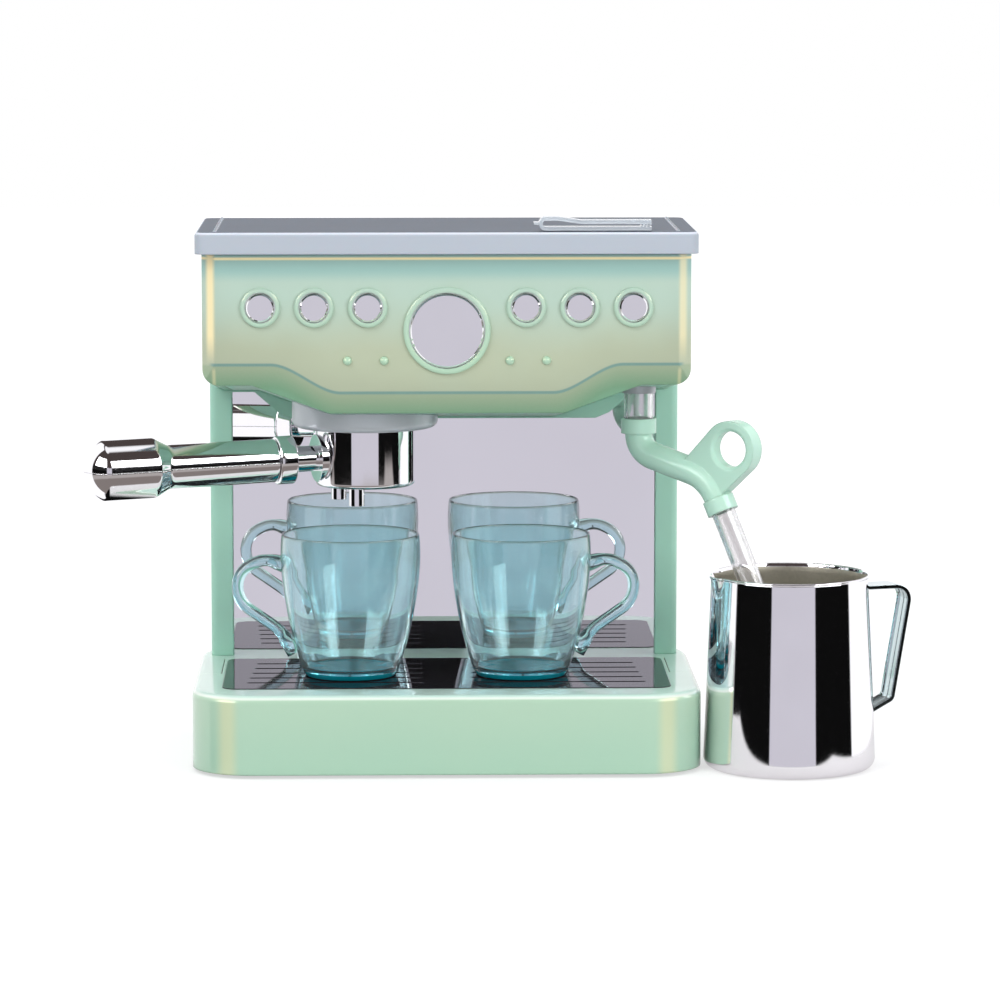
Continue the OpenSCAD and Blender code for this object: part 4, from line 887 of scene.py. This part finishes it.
def floor_look():
    """Pale, white to the camera away from the object, with its soft shadow. In reflections
    it is a table that ends a little in front of the object and beside it."""
    look = Look("floor")
    rays = look.add("ShaderNodeLightPath").outputs
    shiny = rays["Is Glossy Ray"]
    seen = look.calc("MAXIMUM", rays["Is Camera Ray"], rays["Is Transmission Ray"])
    seen = look.calc("MAXIMUM", seen, shiny)
    paint = look.add("ShaderNodeBsdfDiffuse", {
        "Color": look.mix(rays["Is Diffuse Ray"], FLOOR_PAINT, FLOOR_BOUNCE)})
    glow = look.add("ShaderNodeEmission", {
        "Color": look.mix(shiny, WHITE, FLOOR_REFLECTED), "Strength": FLOOR_GLOW})
    place = look.place()
    away = look.add("ShaderNodeVectorMath", {0: place}, operation="LENGTH").outputs["Value"]
    share = look.times(seen, look.fit(away, *FADE, NEAR_SHARE, 1.0, smooth=True))
    x, y = look.axis(place, "X"), look.axis(place, "Y")
    table = look.times(look.step(y, TABLE_FRONT, TABLE_SOFT),
                       look.step(x, TABLE_LEFT, TABLE_SOFT),
                       look.flip(look.step(x, TABLE_RIGHT, TABLE_SOFT)))
    gone = look.times(shiny, look.flip(table))
    clear = look.add("ShaderNodeBsdfTransparent")
    look.surface(look.cross(gone, look.cross(share, paint, glow), clear))


def studio_floor():
    mesh = bpy.data.meshes.new("floor")
    corners = [(-FLOOR_HALF, -FLOOR_HALF), (FLOOR_HALF, -FLOOR_HALF),
               (FLOOR_HALF, FLOOR_HALF), (-FLOOR_HALF, FLOOR_HALF)]
    mesh.from_pydata([(x, y, FLOOR_Z) for x, y in corners], [], [(0, 1, 2, 3)])
    obj = bpy.data.objects.new("floor", mesh)
    bpy.context.collection.objects.link(obj)
    floor_look()
    mesh.materials.append(LOOKS["floor"])


def lamp(name, place, aim, size, power):
    data = bpy.data.lights.new(name, "AREA")
    data.shape = "RECTANGLE"
    data.size, data.size_y = size
    data.energy = power
    obj = bpy.data.objects.new(name, data)
    bpy.context.collection.objects.link(obj)
    obj.location = place
    obj.rotation_euler = (Vector(aim) - Vector(place)).to_track_quat("-Z", "Y").to_euler()
    obj.visible_glossy = False


def camera():
    data = bpy.data.cameras.new("camera")
    data.sensor_width = 36.0
    data.lens = CAMERA_LENS
    data.clip_end = 20.0
    obj = bpy.data.objects.new("camera", data)
    bpy.context.collection.objects.link(obj)
    obj.location = CAMERA_PLACE
    obj.rotation_euler = (math.pi / 2 - CAMERA_DOWN, 0.0, CAMERA_TURN)
    bpy.context.scene.camera = obj


studio_world()
studio_floor()
lamp("key", (-0.9, -1.2, 1.5), aim=(0.0, 0.0, 0.12), size=(0.9, 0.9), power=12.0)
lamp("fill", (1.2, -1.5, 0.5), aim=(0.05, 0.0, 0.12), size=(0.8, 0.8), power=11.0)
lamp("top", (0.0, 0.3, 1.6), aim=(0.0, 0.0, 0.1), size=(1.2, 0.8), power=6.0)
camera()
bpy.context.scene.view_settings.view_transform = "Standard"
